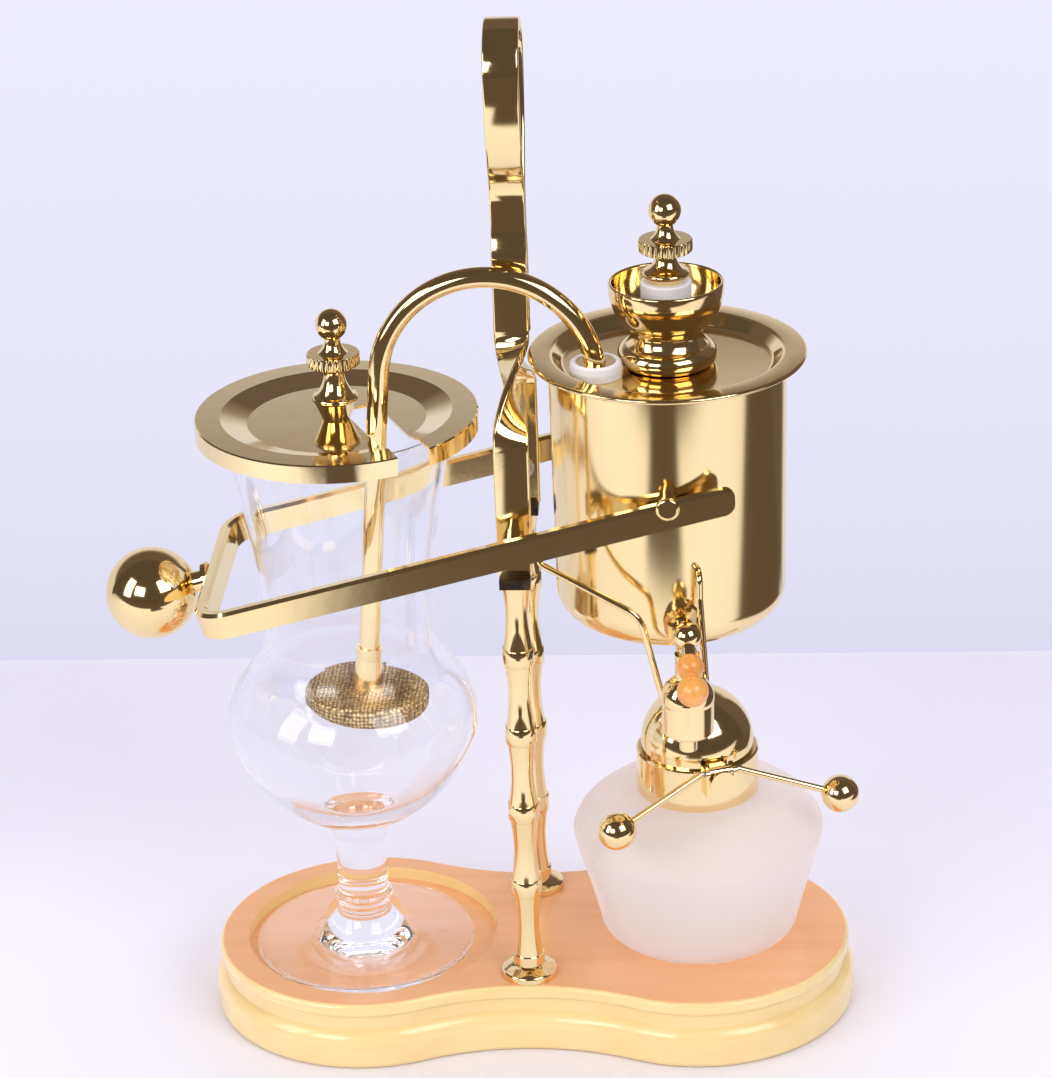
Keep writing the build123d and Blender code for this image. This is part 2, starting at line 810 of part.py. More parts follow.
# Siphon tube: dip leg in the boiler, one arch, and a leaning leg down into the glass
tube_end_z = glass_lid_top - tube_leg_below_lid
tube_end = (tube_leg_at_lid - tube_leg_below_lid * tan(lean), tube_end_z)
leg_top = (arch_x - arch_radius * cos(lean), arch_z + arch_radius * sin(lean))
arch_crown = (arch_x, arch_z + arch_radius)
dip_end = (dip_x, boiler_bottom + boiler_wall + dip_clearance)
tube_line = Wire(
    [
        Line(tube_end, leg_top),
        ThreePointArc(leg_top, arch_crown, (dip_x, arch_z)),
        Line((dip_x, arch_z), dip_end),
    ]
)
tube_path = Pos(0, tube_plane, 0) * (Plane.XZ * tube_line)
tube_foot = Plane(origin=tube_path @ 0, z_dir=tube_path % 0)
tube_solid = sweep(tube_foot * Circle(tube_radius), path=tube_path)
siphon_tube = tube_solid - sweep(tube_foot * Circle(tube_bore), path=tube_path)
tube_clear = sweep(tube_foot * Circle(tube_radius + seat_gap), path=tube_path)

# Stopper: white ring in the lid, with a metal bush that grips the tube
ring_bore = bush_disc_radius + seat_gap
tube_stopper = stopper_place * turned(
    outline(
        (0, -stopper_neck_depth),
        (stopper_neck_radius, -stopper_neck_depth),
        (stopper_neck_radius, 0),
        (stopper_radius, 0),
        (stopper_radius, stopper_height - stopper_bevel),
        (stopper_radius - stopper_bevel, stopper_height),
        (ring_bore, stopper_height),
        (ring_bore, 0),
        (0, 0),
    )
)
tube_stopper -= tube_clear
bush_height = stopper_height - bush_below_ring
tube_bush = stopper_place * Cylinder(bush_disc_radius, bush_height, align=STANDING) - tube_clear

# Filter: socket on the tube's lower end, perforated disc and cloth around it
filter_frame = Plane(origin=tube_path @ 0, z_dir=(tube_path % 0) * -1)
socket_tip = -socket_overlap
filter_socket = filter_frame * turned(
    outline(
        (0, socket_tip),
        (socket_top_radius, socket_tip),
        (socket_top_radius, 0),
        (socket_base_radius, socket_length),
        (socket_base_radius, socket_length + cloth_wall),
        (0, socket_length + cloth_wall),
    )
)
filter_socket -= tube_clear
filter_socket -= filter_frame * Cylinder(tube_bore, 2 * socket_length, align=STANDING)


def filter_outline(radius, height):
    """Half outline of a flat drum with rounded rims, standing on its upper face."""
    bow = filter_round * (1 - sin(radians(45)))
    return outline(
        (0, 0),
        (radius - filter_round, 0),
        ((radius - bow, bow), (radius, filter_round)),
        (radius, height - filter_round),
        ((radius - bow, height - bow), (radius - filter_round, height)),
        (0, height),
    )


filter_place = filter_frame * Pos(0, 0, socket_length)
cloth_solid = filter_place * turned(filter_outline(filter_radius, filter_height))
core = filter_place * Pos(0, 0, cloth_wall) * turned(
    filter_outline(filter_radius - cloth_wall, filter_height - 2 * cloth_wall)
)
neck_hole = filter_place * Cylinder(socket_base_radius + seat_gap, 2 * cloth_wall)
filter_cloth = cloth_solid - core - neck_hole
filter_disc = core

# Tap, drawn with its own X pointing out from the boiler's axis
tap_frame = Pos(boiler_x, 0, trunnion_z + tap_height) * Rot(0, 0, tap_azimuth)
ball_centre = (tap_reach, 0, 0)
bell_top = -tap_bell_below_ball
bell_bottom = bell_top - tap_bell_height
spout_end = bell_bottom - tap_spout_length
pipe_start = (boiler_radius / 2, 0, tap_pipe_rise)
pipe_end = (tap_reach, 0, -tap_ball_radius - tap_pipe_radius)


def tap_bell():
    """Half outline of the tap's neck, bell and spout, about the tap's own axis."""
    neck_top = -tap_ball_radius - tap_neck_gap
    flare = bell_bottom + tap_bell_height * tap_flare_share
    return outline(
        (0, spout_end),
        (tap_spout_radius, spout_end),
        (tap_spout_radius, bell_bottom),
        (tap_bell_radius - tap_bell_bevel, bell_bottom),
        (tap_bell_radius, bell_bottom + tap_bell_bevel),
        (tap_bell_radius, flare),
        (
            (tap_bell_radius * tap_shoulder_share, (flare + bell_top) / 2 + tap_shoulder_bow),
            (tap_neck_radius, bell_top),
        ),
        (tap_neck_radius, neck_top),
        (0, neck_top),
    )


tap_body = turned(tap_bell(), tap_reach) + rod(tap_pipe_radius, pipe_start, pipe_end)
tap_body -= Pos(*ball_centre) * Sphere(tap_ball_radius + moving_gap)
stem_bore = Cylinder(tap_stem_radius + running_gap, tap_stem_length + moving_gap, align=STANDING)
tap_body -= Pos(tap_reach, 0, -tap_stem_length - moving_gap) * stem_bore
tap_body -= Pos(tap_reach, 0, spout_end) * Cylinder(tap_spout_bore, tap_bell_height, align=STANDING)
tap_body = tap_frame * tap_body - can_outside
wall_reach = boiler_radius + tap_collar_width
tap_collar = rod(tap_collar_radius, (boiler_radius / 2, 0, 0), (wall_reach, 0, 0))
wall_share = (boiler_radius / 2) / (tap_reach - boiler_radius / 2)
collar_z = pipe_start[2] + (pipe_end[2] - pipe_start[2]) * wall_share
tap_collar = Pos(0, 0, collar_z) * tap_collar - rod(tap_pipe_radius + seat_gap, pipe_start, pipe_end)
tap_collar = tap_frame * tap_collar - can_outside

# Tap handle: ball with a stem down into the neck, and a turned wooden grip sloping forward
grip_frame = Pos(*ball_centre) * Rot(0, 90 + tap_handle_slope, 0)
shoulder = tap_handle_shoulder
tap_spindle = Pos(*ball_centre) * Sphere(tap_ball_radius)
tap_spindle += rod(tap_stem_radius, ball_centre, (tap_reach, 0, -tap_stem_length))
tap_spindle += grip_frame * Cylinder(tap_spindle_neck, shoulder, align=STANDING)
tap_spindle += grip_frame * Cylinder(tap_tang_radius, shoulder + tap_tang_length, align=STANDING)
tap_spindle = tap_frame * tap_spindle
lobe_waist = tap_lobe_reach + sqrt(tap_lobe_radius**2 - tap_handle_neck**2)
end_waist = tap_end_lobe_reach - sqrt(tap_end_lobe_radius**2 - tap_handle_neck**2)
tang_bore = tap_tang_radius + seat_gap
tang_end = shoulder + tap_tang_length + seat_gap
tap_knob = tap_frame * grip_frame * turned(
    outline(
        (tang_bore, shoulder),
        (tap_handle_neck, shoulder),
        ((tap_lobe_radius, tap_lobe_reach), (tap_handle_neck, lobe_waist)),
        (tap_handle_neck, end_waist),
        ((tap_end_lobe_radius, tap_end_lobe_reach), (0, tap_end_lobe_reach + tap_end_lobe_radius)),
        (0, tang_end),
        (tang_bore, tang_end),
    )
)

# Tap stay: wire from the boiler's wall, bent down to the bell's shoulder
tap_stay = tap_frame * wire(
    [
        (boiler_radius / 2, stay_side, stay_rise),
        (stay_reach, stay_side, stay_rise),
        (stay_reach, stay_side, stay_rise - stay_drop),
        (tap_reach - tap_neck_radius, stay_side + stay_splay, bell_top - tap_bell_height * stay_foot_share),
    ],
    [stay_bend, stay_lower_bend],
    wire_radius,
)
tap_stay = tap_stay - can_outside - tap_body


# Stemmed glass, blown in one piece
def glass_outline():
    """Half outline of the glass: foot, cone, stem, bulb, neck and flared mouth, with its inside."""
    floor = recess_floor
    neck_z = floor + glass_neck_height
    bulb_z = floor + glass_bulb_height
    bulb_floor = floor + glass_bulb_floor
    crook_z = floor + glass_crook_height
    crook_radius = glass_neck_radius + glass_crook_step
    shoulder_z = (bulb_z + crook_z) / 2
    flare_z = (neck_z + glass_top) / 2
    flare_radius = glass_neck_radius + (glass_mouth_radius - glass_neck_radius) * glass_flare_share
    bulb_corner = glass_bulb_radius * glass_corner_radius_share
    bulb_corner_z = bulb_floor + (bulb_z - bulb_floor) * glass_corner_height_share
    shoulder = glass_bulb_radius - glass_shoulder_bow
    neck_bow = glass_neck_radius + glass_neck_bow
    neck_bow_z = (crook_z + neck_z) / 2 - glass_neck_bow_drop
    wall = glass_wall
    corner_wall = wall * glass_corner_wall_share
    cone_z = floor + glass_cone_height
    stem_low = cone_z + glass_cone_top
    stem_mid = stem_low + glass_bead_height
    foot_top = floor + glass_foot_height
    return outline(
        (0, floor),
        (glass_foot_radius, floor),
        ((glass_foot_radius + glass_foot_bow, (floor + foot_top) / 2), (glass_foot_radius, foot_top)),
        (glass_cone_radius, foot_top + glass_foot_rise),
        (
            (glass_bead_radius + glass_cone_bow, cone_z + glass_cone_bow),
            (glass_bead_radius - glass_bead_inset, stem_low),
        ),
        ((glass_bead_radius + glass_bead_bow, (stem_low + stem_mid) / 2), (glass_stem_radius, stem_mid)),
        (
            (glass_stem_radius + glass_stem_bow, bulb_floor - glass_root_height),
            (glass_stem_radius + glass_root_flare, bulb_floor - glass_root_drop),
        ),
        ((bulb_corner, bulb_corner_z), (glass_bulb_radius, bulb_z)),
        ((shoulder, shoulder_z), (crook_radius, crook_z)),
        ((neck_bow, neck_bow_z), (glass_neck_radius, neck_z)),
        ((flare_radius, flare_z), (glass_mouth_radius, glass_top)),
        (glass_mouth_radius - wall, glass_top),
        ((flare_radius - wall, flare_z), (glass_neck_radius - wall, neck_z)),
        ((neck_bow - wall, neck_bow_z), (crook_radius - wall, crook_z)),
        ((shoulder - wall, shoulder_z), (glass_bulb_radius - wall, bulb_z)),
        ((bulb_corner - corner_wall, bulb_corner_z + corner_wall), (glass_stem_radius, bulb_floor + wall)),
        (0, bulb_floor + wall),
    )


glass_goblet = turned(glass_outline(), glass_x)


# Glass lid: skirted plate with a shallow dish and a slot for the tube
def glass_lid_outline():
    """Half outline of the lid, its flat ring resting on the glass's mouth."""
    dish = glass_lid_top - glass_lid_dish
    inner = glass_lid_dish_radius - glass_lid_slope
    under = glass_lid_wall
    bottom = glass_lid_top - glass_lid_skirt
    return outline(
        (0, dish - under),
        (inner, dish - under),
        (glass_lid_dish_radius - under, glass_top),
        (glass_lid_radius - under, glass_top),
        (glass_lid_radius - under, bottom),
        (glass_lid_radius, bottom),
        (glass_lid_radius, glass_lid_top - under / 2),
        (glass_lid_radius - under / 2, glass_lid_top),
        (glass_lid_dish_radius, glass_lid_top),
        (inner, dish),
        (0, dish),
    )


goblet_lid = turned(glass_lid_outline(), glass_x)
slot_length = slot_back + glass_lid_radius
slot = Pos(slot_length / 2 - slot_back, 0, 0) * Box(slot_length, slot_width, 4 * glass_lid_skirt)
goblet_lid -= Pos(tube_leg_at_lid + slot_shift, tube_plane, glass_lid_top) * Rot(0, 0, slot_azimuth) * slot
lid_dish_top = glass_lid_top - glass_lid_dish
knob_disc_z = lid_dish_top + lid_knob_disc_height
lid_knob = Pos(glass_x, 0, 0) * finial(
    lid_dish_top - glass_lid_wall - moving_gap,
    lid_dish_top,
    lid_knob_foot_radius,
    lid_knob_ring_rise,
    knob_disc_z,
    knob_disc_z + lid_knob_rise,
    lid_knob_ball_radius,
)
goblet_lid -= Pos(glass_x, 0, lid_dish_top) * Cylinder(plug_stem_radius + seat_gap, 4 * glass_lid_wall)


# Burner: frosted glass jar, metal collar, wick and its tube
def jar_outline(inset, floor, foot_bow):
    """Half outline of the jar's outer or inner face, drawn in by an inset."""
    foot = jar_foot_radius - inset
    belly = jar_radius - inset
    neck = jar_neck_radius - inset
    bow = foot_bow * (1 - sin(radians(45)))
    belly_z = base_top + jar_belly_height
    shoulder_z = jar_shoulder - inset
    top = base_top + jar_height
    mid_radius = (foot + belly) / 2 + jar_side_bow
    shoulder_mid = neck + (belly - neck) * jar_shoulder_radius_share
    shoulder_mid_z = shoulder_z - (shoulder_z - belly_z) * jar_shoulder_drop_share
    return outline(
        (0, floor),
        (foot - foot_bow, floor),
        ((foot - bow, floor + bow), (foot, floor + foot_bow)),
        ((mid_radius, (floor + foot_bow + belly_z) / 2), (belly, belly_z)),
        ((shoulder_mid, shoulder_mid_z), (collar_radius - inset, shoulder_z)),
        (neck, shoulder_z),
        (neck, top),
        (0, top),
    )


burner_jar = turned(jar_outline(0, base_top, jar_foot_round), burner_x, burner_y)
jar_inside = jar_outline(jar_wall, base_top + jar_wall, jar_foot_round - jar_wall)
burner_jar -= turned(jar_inside, burner_x, burner_y)
collar_bore = wick_tube_radius + seat_gap
burner_collar = turned(
    outline(
        (jar_neck_radius + seat_gap, jar_shoulder),
        (collar_radius, jar_shoulder),
        (collar_radius, collar_top - collar_wall / 2),
        (collar_radius - collar_wall / 2, collar_top),
        (collar_bore, collar_top),
        (collar_bore, collar_top - collar_wall),
        (jar_neck_radius + seat_gap, collar_top - collar_wall),
    ),
    burner_x,
    burner_y,
)
wick_bore = wick_tube_radius - wick_tube_wall
tube_foot_z = collar_top - wick_tube_depth
wick_top = collar_top + wick_tube_rise
flange_top = collar_top - collar_wall
flange_radius = wick_tube_radius + wick_flange_width
wick_tube = turned(
    outline(
        (wick_bore, tube_foot_z),
        (wick_tube_radius, tube_foot_z),
        (wick_tube_radius, flange_top - wick_flange_height),
        (flange_radius, flange_top - wick_flange_height),
        (flange_radius, flange_top),
        (wick_tube_radius, flange_top),
        (wick_tube_radius, wick_top),
        (wick_bore, wick_top),
    ),
    burner_x,
    burner_y,
)
wick_foot = tube_foot_z - wick_tail
wick_end = wick_top + wick_show
wick = turned(
    outline(
        (0, wick_foot),
        (wick_bore - seat_gap, wick_foot),
        (wick_bore - seat_gap, wick_end - wick_bevel),
        (wick_bore - seat_gap - wick_bevel, wick_end),
        (0, wick_end),
    ),
    burner_x,
    burner_y,
)

# Snuffer and its hinge, drawn with X pointing out from the burner's axis through the hinge
hinge_frame = Pos(burner_x, burner_y, 0) * Rot(0, 0, hinge_azimuth)
ear_place = knuckle_length / 2 + seat_gap + ear_thickness / 2
ear_outer = hinge_radius + knuckle_radius + moving_gap
bracket_half = ear_place + ear_thickness / 2
bracket_foot = hinge_z + ear_rise - ear_height
bracket_depth = ear_outer - snuffer_radius
bracket = Pos(snuffer_radius + bracket_depth / 2, 0, bracket_foot) * Box(
    bracket_depth, 2 * bracket_half, ear_height, align=STANDING
)
bracket = fillet(bracket.edges().filter_by(Axis.Y).group_by(Axis.X)[-1].group_by(Axis.Z)[-1], ear_rise)
knuckle_room = 2 * (knuckle_radius + moving_gap)
knuckle_gap = Box(4 * knuckle_room, knuckle_length + 2 * seat_gap, knuckle_room)
bracket -= Pos(hinge_radius, 0, hinge_z) * knuckle_gap
bracket -= Pos(0, 0, collar_top) * Cylinder(collar_radius, 4 * collar_height)
ear_start = (hinge_radius, -bracket_half, hinge_z)
ear_end = (hinge_radius, bracket_half, hinge_z)
bracket -= rod(hinge_pin_radius + running_gap, ear_start, ear_end)
hub_z = hinge_z - hub_disc_drop
hub_disc = rod(hub_disc_radius, (ear_outer, 0, hub_z), (ear_outer + hub_disc_thickness, 0, hub_z))
hinge_bracket = hinge_frame * (bracket + hub_disc)

snuffer_foot = collar_top + seat_gap


def snuffer_dome(inset):
    """Half outline of the cap's outer or inner face: a short wall under a round crown."""
    radius = snuffer_radius - inset
    wall_top = snuffer_foot + snuffer_side
    crown = snuffer_foot + snuffer_height - inset
    rise = crown - wall_top
    ball = (radius**2 + rise**2) / (2 * rise)
    half_turn = atan(rise / radius)
    bow = (ball * sin(half_turn), crown - ball + ball * cos(half_turn))
    return outline((0, snuffer_foot), (radius, snuffer_foot), (radius, wall_top), (bow, (0, crown)))


snuffer_solid = turned(snuffer_dome(0), burner_x, burner_y)
snuffer_cap = snuffer_solid - turned(snuffer_dome(snuffer_wall), burner_x, burner_y)
pin_half = bracket_half + pin_overhang
hinge_pin = rod(hinge_pin_radius, (hinge_radius, -pin_half, hinge_z), (hinge_radius, pin_half, hinge_z))
knuckle_half = knuckle_length / 2
knuckle = rod(knuckle_radius, (hinge_radius, -knuckle_half, hinge_z), (hinge_radius, knuckle_half, hinge_z))
leaf_reach = hinge_radius - snuffer_radius / 2
leaf_width = knuckle_length - 2 * leaf_side_gap
leaf = Pos(hinge_radius - leaf_reach / 2, 0, hinge_z) * Box(leaf_reach, leaf_width, leaf_thickness)
snuffer_leaf = hinge_frame * (knuckle + leaf - hinge_pin) - snuffer_solid
rods = []
rod_balls = []
for side in (-1, 1):
    rod_start = (hinge_radius, side * (pin_half - rod_radius), hinge_z)
    rod_end = (hinge_radius + rod_ball_out, side * rod_ball_spread, hinge_z - rod_ball_drop)
    bar = rod(rod_radius, rod_start, rod_end)
    knob_ball = Pos(*rod_end) * Sphere(rod_ball_radius)
    rods.append(hinge_frame * (bar - knob_ball - hinge_pin))
    rod_balls.append(hinge_frame * knob_ball)
hinge_pin = hinge_frame * hinge_pin

# One file for each piece
nodes = {
    "wood_base": wood_base,
    "pillar_screws": Compound(children=pillar_screws),
    "lever_pivot_pins": Compound(children=lever_pivot_pins),
    "lever_bushes": Compound(children=lever_bushes),
    "carrying_handle": carrying_handle,
    "glass_goblet": glass_goblet,
    "lever_strap": lever_strap,
    "counterweight_stud": counterweight_stud,
    "counterweight_ball": counterweight_ball,
    "trip_wire": trip_wire,
    "boiler_shell": boiler_shell,
    "boiler_lid": boiler_lid,
    "filler_cup": filler_cup,
    "trunnion_screws": Compound(children=trunnion_screws),
    "tube_stopper": tube_stopper,
    "tube_bush": tube_bush,
    "siphon_tube": siphon_tube,
    "filter_socket": filter_socket,
    "filter_disc": filter_disc,
    "filter_cloth": filter_cloth,
    "tap_collar": tap_collar,
    "tap_body": tap_body,
    "tap_stay": tap_stay,
    "tap_spindle": tap_spindle,
    "tap_knob": tap_knob,
    "plug_seal": plug_seal,
    "plug_knob": plug_knob,
    "goblet_lid": goblet_lid,
    "lid_knob": lid_knob,
    "burner_jar": burner_jar,
    "burner_collar": burner_collar,
    "wick_tube": wick_tube,
    "wick": wick,
    "hinge_bracket": hinge_bracket,
    "snuffer_cap": snuffer_cap,
    "snuffer_leaf": snuffer_leaf,
    "hinge_pin": hinge_pin,
    "snuffer_rods": Compound(children=rods),
    "snuffer_balls": Compound(children=rod_balls),
}
for name, side in (("front", -1), ("rear", 1)):
    nodes[name + "_pillar"] = turned(pillar_outline(), 0, side * pillar_y)
    nodes[name + "_pillar_foot"] = turned(pillar_foot(), 0, side * pillar_y)
    nodes[name + "_head_block"] = Pos(0, side * pillar_y, 0) * head_block()
    nodes[name + "_trunnion"] = trunnions[(side + 1) // 2]

os.makedirs("parts", exist_ok=True)
for name, solid in nodes.items():
    export_step(solid, "parts/" + name + ".step")
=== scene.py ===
from math import atan, cos, pi, radians, sin, sqrt, tan

import bmesh
import bpy
import numpy as np
from mathutils import Matrix, Vector


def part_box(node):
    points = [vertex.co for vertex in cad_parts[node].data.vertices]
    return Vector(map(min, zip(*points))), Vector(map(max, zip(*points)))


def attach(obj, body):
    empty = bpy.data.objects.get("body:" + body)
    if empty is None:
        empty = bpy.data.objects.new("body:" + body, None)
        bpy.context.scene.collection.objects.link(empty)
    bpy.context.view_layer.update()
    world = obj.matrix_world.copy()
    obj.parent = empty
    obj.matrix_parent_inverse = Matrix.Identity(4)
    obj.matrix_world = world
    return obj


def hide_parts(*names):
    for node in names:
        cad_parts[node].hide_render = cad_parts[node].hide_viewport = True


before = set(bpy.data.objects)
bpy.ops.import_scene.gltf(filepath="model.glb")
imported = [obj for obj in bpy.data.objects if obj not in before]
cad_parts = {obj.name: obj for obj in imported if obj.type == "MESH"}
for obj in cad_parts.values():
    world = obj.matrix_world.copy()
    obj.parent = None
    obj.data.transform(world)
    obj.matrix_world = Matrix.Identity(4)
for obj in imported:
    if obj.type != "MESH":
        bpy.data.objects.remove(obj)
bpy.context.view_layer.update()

# Wood base
# A figure-eight board of pale wood, its edge moulded all round with a lip, a cove and a full round. Its
# upper face is stained orange-tan, the sides stay cream, and the whole board has a thick clear lacquer.
board_pale = (0.99, 0.76, 0.36)
board_deep = (0.97, 0.70, 0.31)
stain_pale = (0.93, 0.47, 0.21)
stain_deep = (0.89, 0.42, 0.17)
board_grain = (0.12, 2.2, 2.2)


def new_material(name):
    """Empty node material with one Principled shader; returns the material, its node tree and the shader."""
    material = bpy.data.materials.new(name)
    material.use_nodes = True
    return material, material.node_tree, material.node_tree.nodes["Principled BSDF"]


def fill(tree, node, sockets):
    """Set a node's sockets: an output is linked to its socket, and a plain number or colour is put there."""
    for socket, value in sockets.items():
        if isinstance(value, bpy.types.NodeSocket):
            tree.links.new(value, node.inputs[socket])
        else:
            node.inputs[socket].default_value = value


def make_node(tree, kind, sockets):
    """New node of a kind, with its sockets filled."""
    node = tree.nodes.new(kind)
    fill(tree, node, sockets)
    return node


def noise(tree, scale, stretch=(1, 1, 1), detail=3.0):
    """Noise over Object coordinates, stretched by a Mapping node; returns its value output."""
    place = tree.nodes.new("ShaderNodeTexCoord").outputs["Object"]
    grid = make_node(tree, "ShaderNodeMapping", {"Vector": place, "Scale": stretch}).outputs["Vector"]
    sockets = {"Vector": grid, "Scale": scale, "Detail": detail}
    return make_node(tree, "ShaderNodeTexNoise", sockets).outputs["Fac"]


def ramp(tree, value, stops):
    """Colour ramp over a value; stops are (place, colour)."""
    node = make_node(tree, "ShaderNodeValToRGB", {"Fac": value})
    elements = node.color_ramp.elements
    while len(elements) < len(stops):
        elements.new(0.5)
    for element, (place, colour) in zip(elements, stops):
        element.position = place
        element.color = (*colour, 1.0)
    return node.outputs["Color"]


def spread(tree, value, low, high):
    """Map a 0 to 1 value onto a range."""
    sockets = {"Value": value, "To Min": low, "To Max": high}
    return make_node(tree, "ShaderNodeMapRange", sockets).outputs["Result"]


def band(tree, value, start, end):
    """0 to 1 value that rises as another goes from a start to an end."""
    sockets = {"Value": value, "From Min": start, "From Max": end}
    return make_node(tree, "ShaderNodeMapRange", sockets).outputs["Result"]


def bump(tree, value, height):
    """Normal tipped as if a value were relief, with the height in metres."""
    return make_node(tree, "ShaderNodeBump", {"Height": value, "Distance": height}).outputs["Normal"]


def blend_colours(tree, factor, first, second):
    """Mix two colour outputs by a factor output, with sockets by number because their names repeat."""
    node = tree.nodes.new("ShaderNodeMix")
    node.data_type = "RGBA"
    fill(tree, node, {0: factor, 6: first, 7: second})
    return node.outputs[2]


def split(tree, vector):
    """The X, Y and Z outputs of a vector output."""
    return make_node(tree, "ShaderNodeSeparateXYZ", {"Vector": vector}).outputs


def lacquered_wood(name, pale, deep, top_pale, top_deep, grain_way):
    """Wood with long fine grain, a stain on its upward faces and a clear coat."""
    material, tree, shader = new_material(name)
    grain = noise(tree, scale=60, stretch=grain_way, detail=5.0)
    cloud = noise(tree, scale=14, detail=2.0)
    side = ramp(tree, grain, [(0.30, deep), (0.62, pale)])
    top = ramp(tree, grain, [(0.30, top_deep), (0.62, top_pale)])
    facing = tree.nodes.new("ShaderNodeNewGeometry").outputs["Normal"]
    upward = band(tree, split(tree, facing)["Z"], start=0.86, end=0.97)
    fill(tree, shader, {
        "Base Color": blend_colours(tree, upward, side, top),
        "Roughness": spread(tree, cloud, low=0.22, high=0.38),
        "Coat Weight": 0.7,
        "Coat Roughness": 0.06,
        "Normal": bump(tree, grain, height=0.00012),
    })
    return material


def dress(node, material):
    """Give a carried-over node one material."""
    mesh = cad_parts[node].data
    mesh.materials.clear()
    mesh.materials.append(material)


dress("wood_base", lacquered_wood("base_wood", board_pale, board_deep, stain_pale, stain_deep, board_grain))

# Pillars
# Two turned posts of gold-plated brass, cut like bamboo: four plain bands with hollow waists between them.
# Each is screwed up from under the base, through a round foot.
MM = 0.001  # pieces are sized in millimetres, and Blender's meshes in metres
pillar_radius = 6.0
pillar_waist = 4.3
pillar_groove = 0.45
pillar_plain = 9.4
plain_edge = 0.35
plain_step = 0.3
band_height = 7.0
band_count = 4
band_edge = 0.4
band_step = 0.25
waist_steps = 17
foot_height = 4.5
foot_seat = 0.1
foot_edge = 0.4
foot_rim = 2.6
foot_round = 1.2
foot_slope = 2.2
foot_collar = 1.2
foot_tuck = 0.6
foot_inset = 0.5
gold_colour = (0.96, 0.77, 0.42)
gold_shade = (0.97, 0.95, 0.90)


def finish_mesh(node, points, faces, body, material, sharp=40):
    """Make the piece that stands for a node: seams closed, faces turned outwards, smooth and mounted."""
    name = node + "_piece"
    mesh = bpy.data.meshes.new(name)
    mesh.from_pydata(points.reshape(-1, 3).tolist(), [], faces.tolist())
    work = bmesh.new()
    work.from_mesh(mesh)
    bmesh.ops.remove_doubles(work, verts=work.verts, dist=1e-6)
    bmesh.ops.recalc_face_normals(work, faces=work.faces)
    work.to_mesh(mesh)
    work.free()
    mesh.polygons.foreach_set("use_smooth", np.ones(len(mesh.polygons), dtype=bool))
    mesh.set_sharp_from_angle(angle=radians(sharp))
    mesh.materials.append(material)
    piece = bpy.data.objects.new(name, mesh)
    bpy.context.scene.collection.objects.link(piece)
    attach(piece, body)
    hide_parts(node)


def grid_faces(rows, columns, close_rows=False, close_columns=False):
    """Four-sided faces over a grid of points, joined end to start where a direction is closed."""
    index = np.arange(rows * columns).reshape(rows, columns)
    if close_rows:
        index = np.vstack([index, index[:1]])
    if close_columns:
        index = np.hstack([index, index[:, :1]])
    corners = [index[:-1, :-1], index[1:, :-1], index[1:, 1:], index[:-1, 1:]]
    return np.stack(corners, axis=-1).reshape(-1, 4)


def rounded(corners, steps=8):
    """Outline through (radius, height, rounding) corners: each corner is an arc tangent to its two sides."""
    points = np.array([corner[:2] for corner in corners], dtype=float)
    parts = [points[:1]]
    for before, here, after, corner in zip(points[:-2], points[1:-1], points[2:], corners[1:-1]):
        back = (before - here) / np.linalg.norm(before - here)
        ahead = (after - here) / np.linalg.norm(after - here)
        half = np.arccos(np.clip(back @ ahead, -1, 1)) / 2
        rounding = corner[2] if len(corner) > 2 else 0.0
        straight = abs(half - pi / 2) < 1e-4
        if rounding == 0 or straight:
            parts.append(here[None])
            continue
        bisector = (back + ahead) / np.linalg.norm(back + ahead)
        centre = here + bisector * rounding / sin(half)
        start = here + back * rounding / tan(half) - centre
        end = here + ahead * rounding / tan(half) - centre
        share = np.linspace(0, 1, steps)[:, None]
        turn = pi - 2 * half
        spoke = (np.sin((1 - share) * turn) * start + np.sin(share * turn) * end) / sin(turn)
        parts.append(centre + spoke)
    parts.append(points[-1:])
    return np.vstack(parts)


def around(outline, x=0.0, y=0.0, turns=128):
    """Carry a (radius, height) outline in millimetres round an upright axis, with one row for each step."""
    angle = np.linspace(0, 2 * pi, turns, endpoint=False)[:, None]
    radius = outline[None, :, 0]
    height = np.broadcast_to(outline[None, :, 1], (turns, len(outline)))
    return np.stack([x + radius * np.cos(angle), y + radius * np.sin(angle), height], axis=-1) * MM


def turned(node, outline, body, material, x=0.0, y=0.0, turns=128, closed=False, sharp=40):
    """Turned piece: an outline carried round an upright axis, open at the axis or closed as a ring."""
    faces = grid_faces(turns, len(outline), True, closed)
    finish_mesh(node, around(outline, x, y, turns), faces, body, material, sharp)


def polished_gold(name, dull=0.05, worn=0.13, marks=(1, 1, 1), mark_scale=900, colour=gold_colour):
    """Gold plate: warm mirror metal whose gloss drifts a little, with fine polishing marks."""
    material, tree, shader = new_material(name)
    deep = tuple(channel * share for channel, share in zip(colour, gold_shade))
    fill(tree, shader, {
        "Base Color": ramp(tree, noise(tree, scale=30), [(0.35, deep), (0.60, colour)]),
        "Metallic": 1.0,
        "Roughness": spread(tree, noise(tree, mark_scale, marks, detail=2.0), dull, worn),
        "Normal": bump(tree, noise(tree, scale=120, detail=1.0), height=0.00002),
    })
    return material


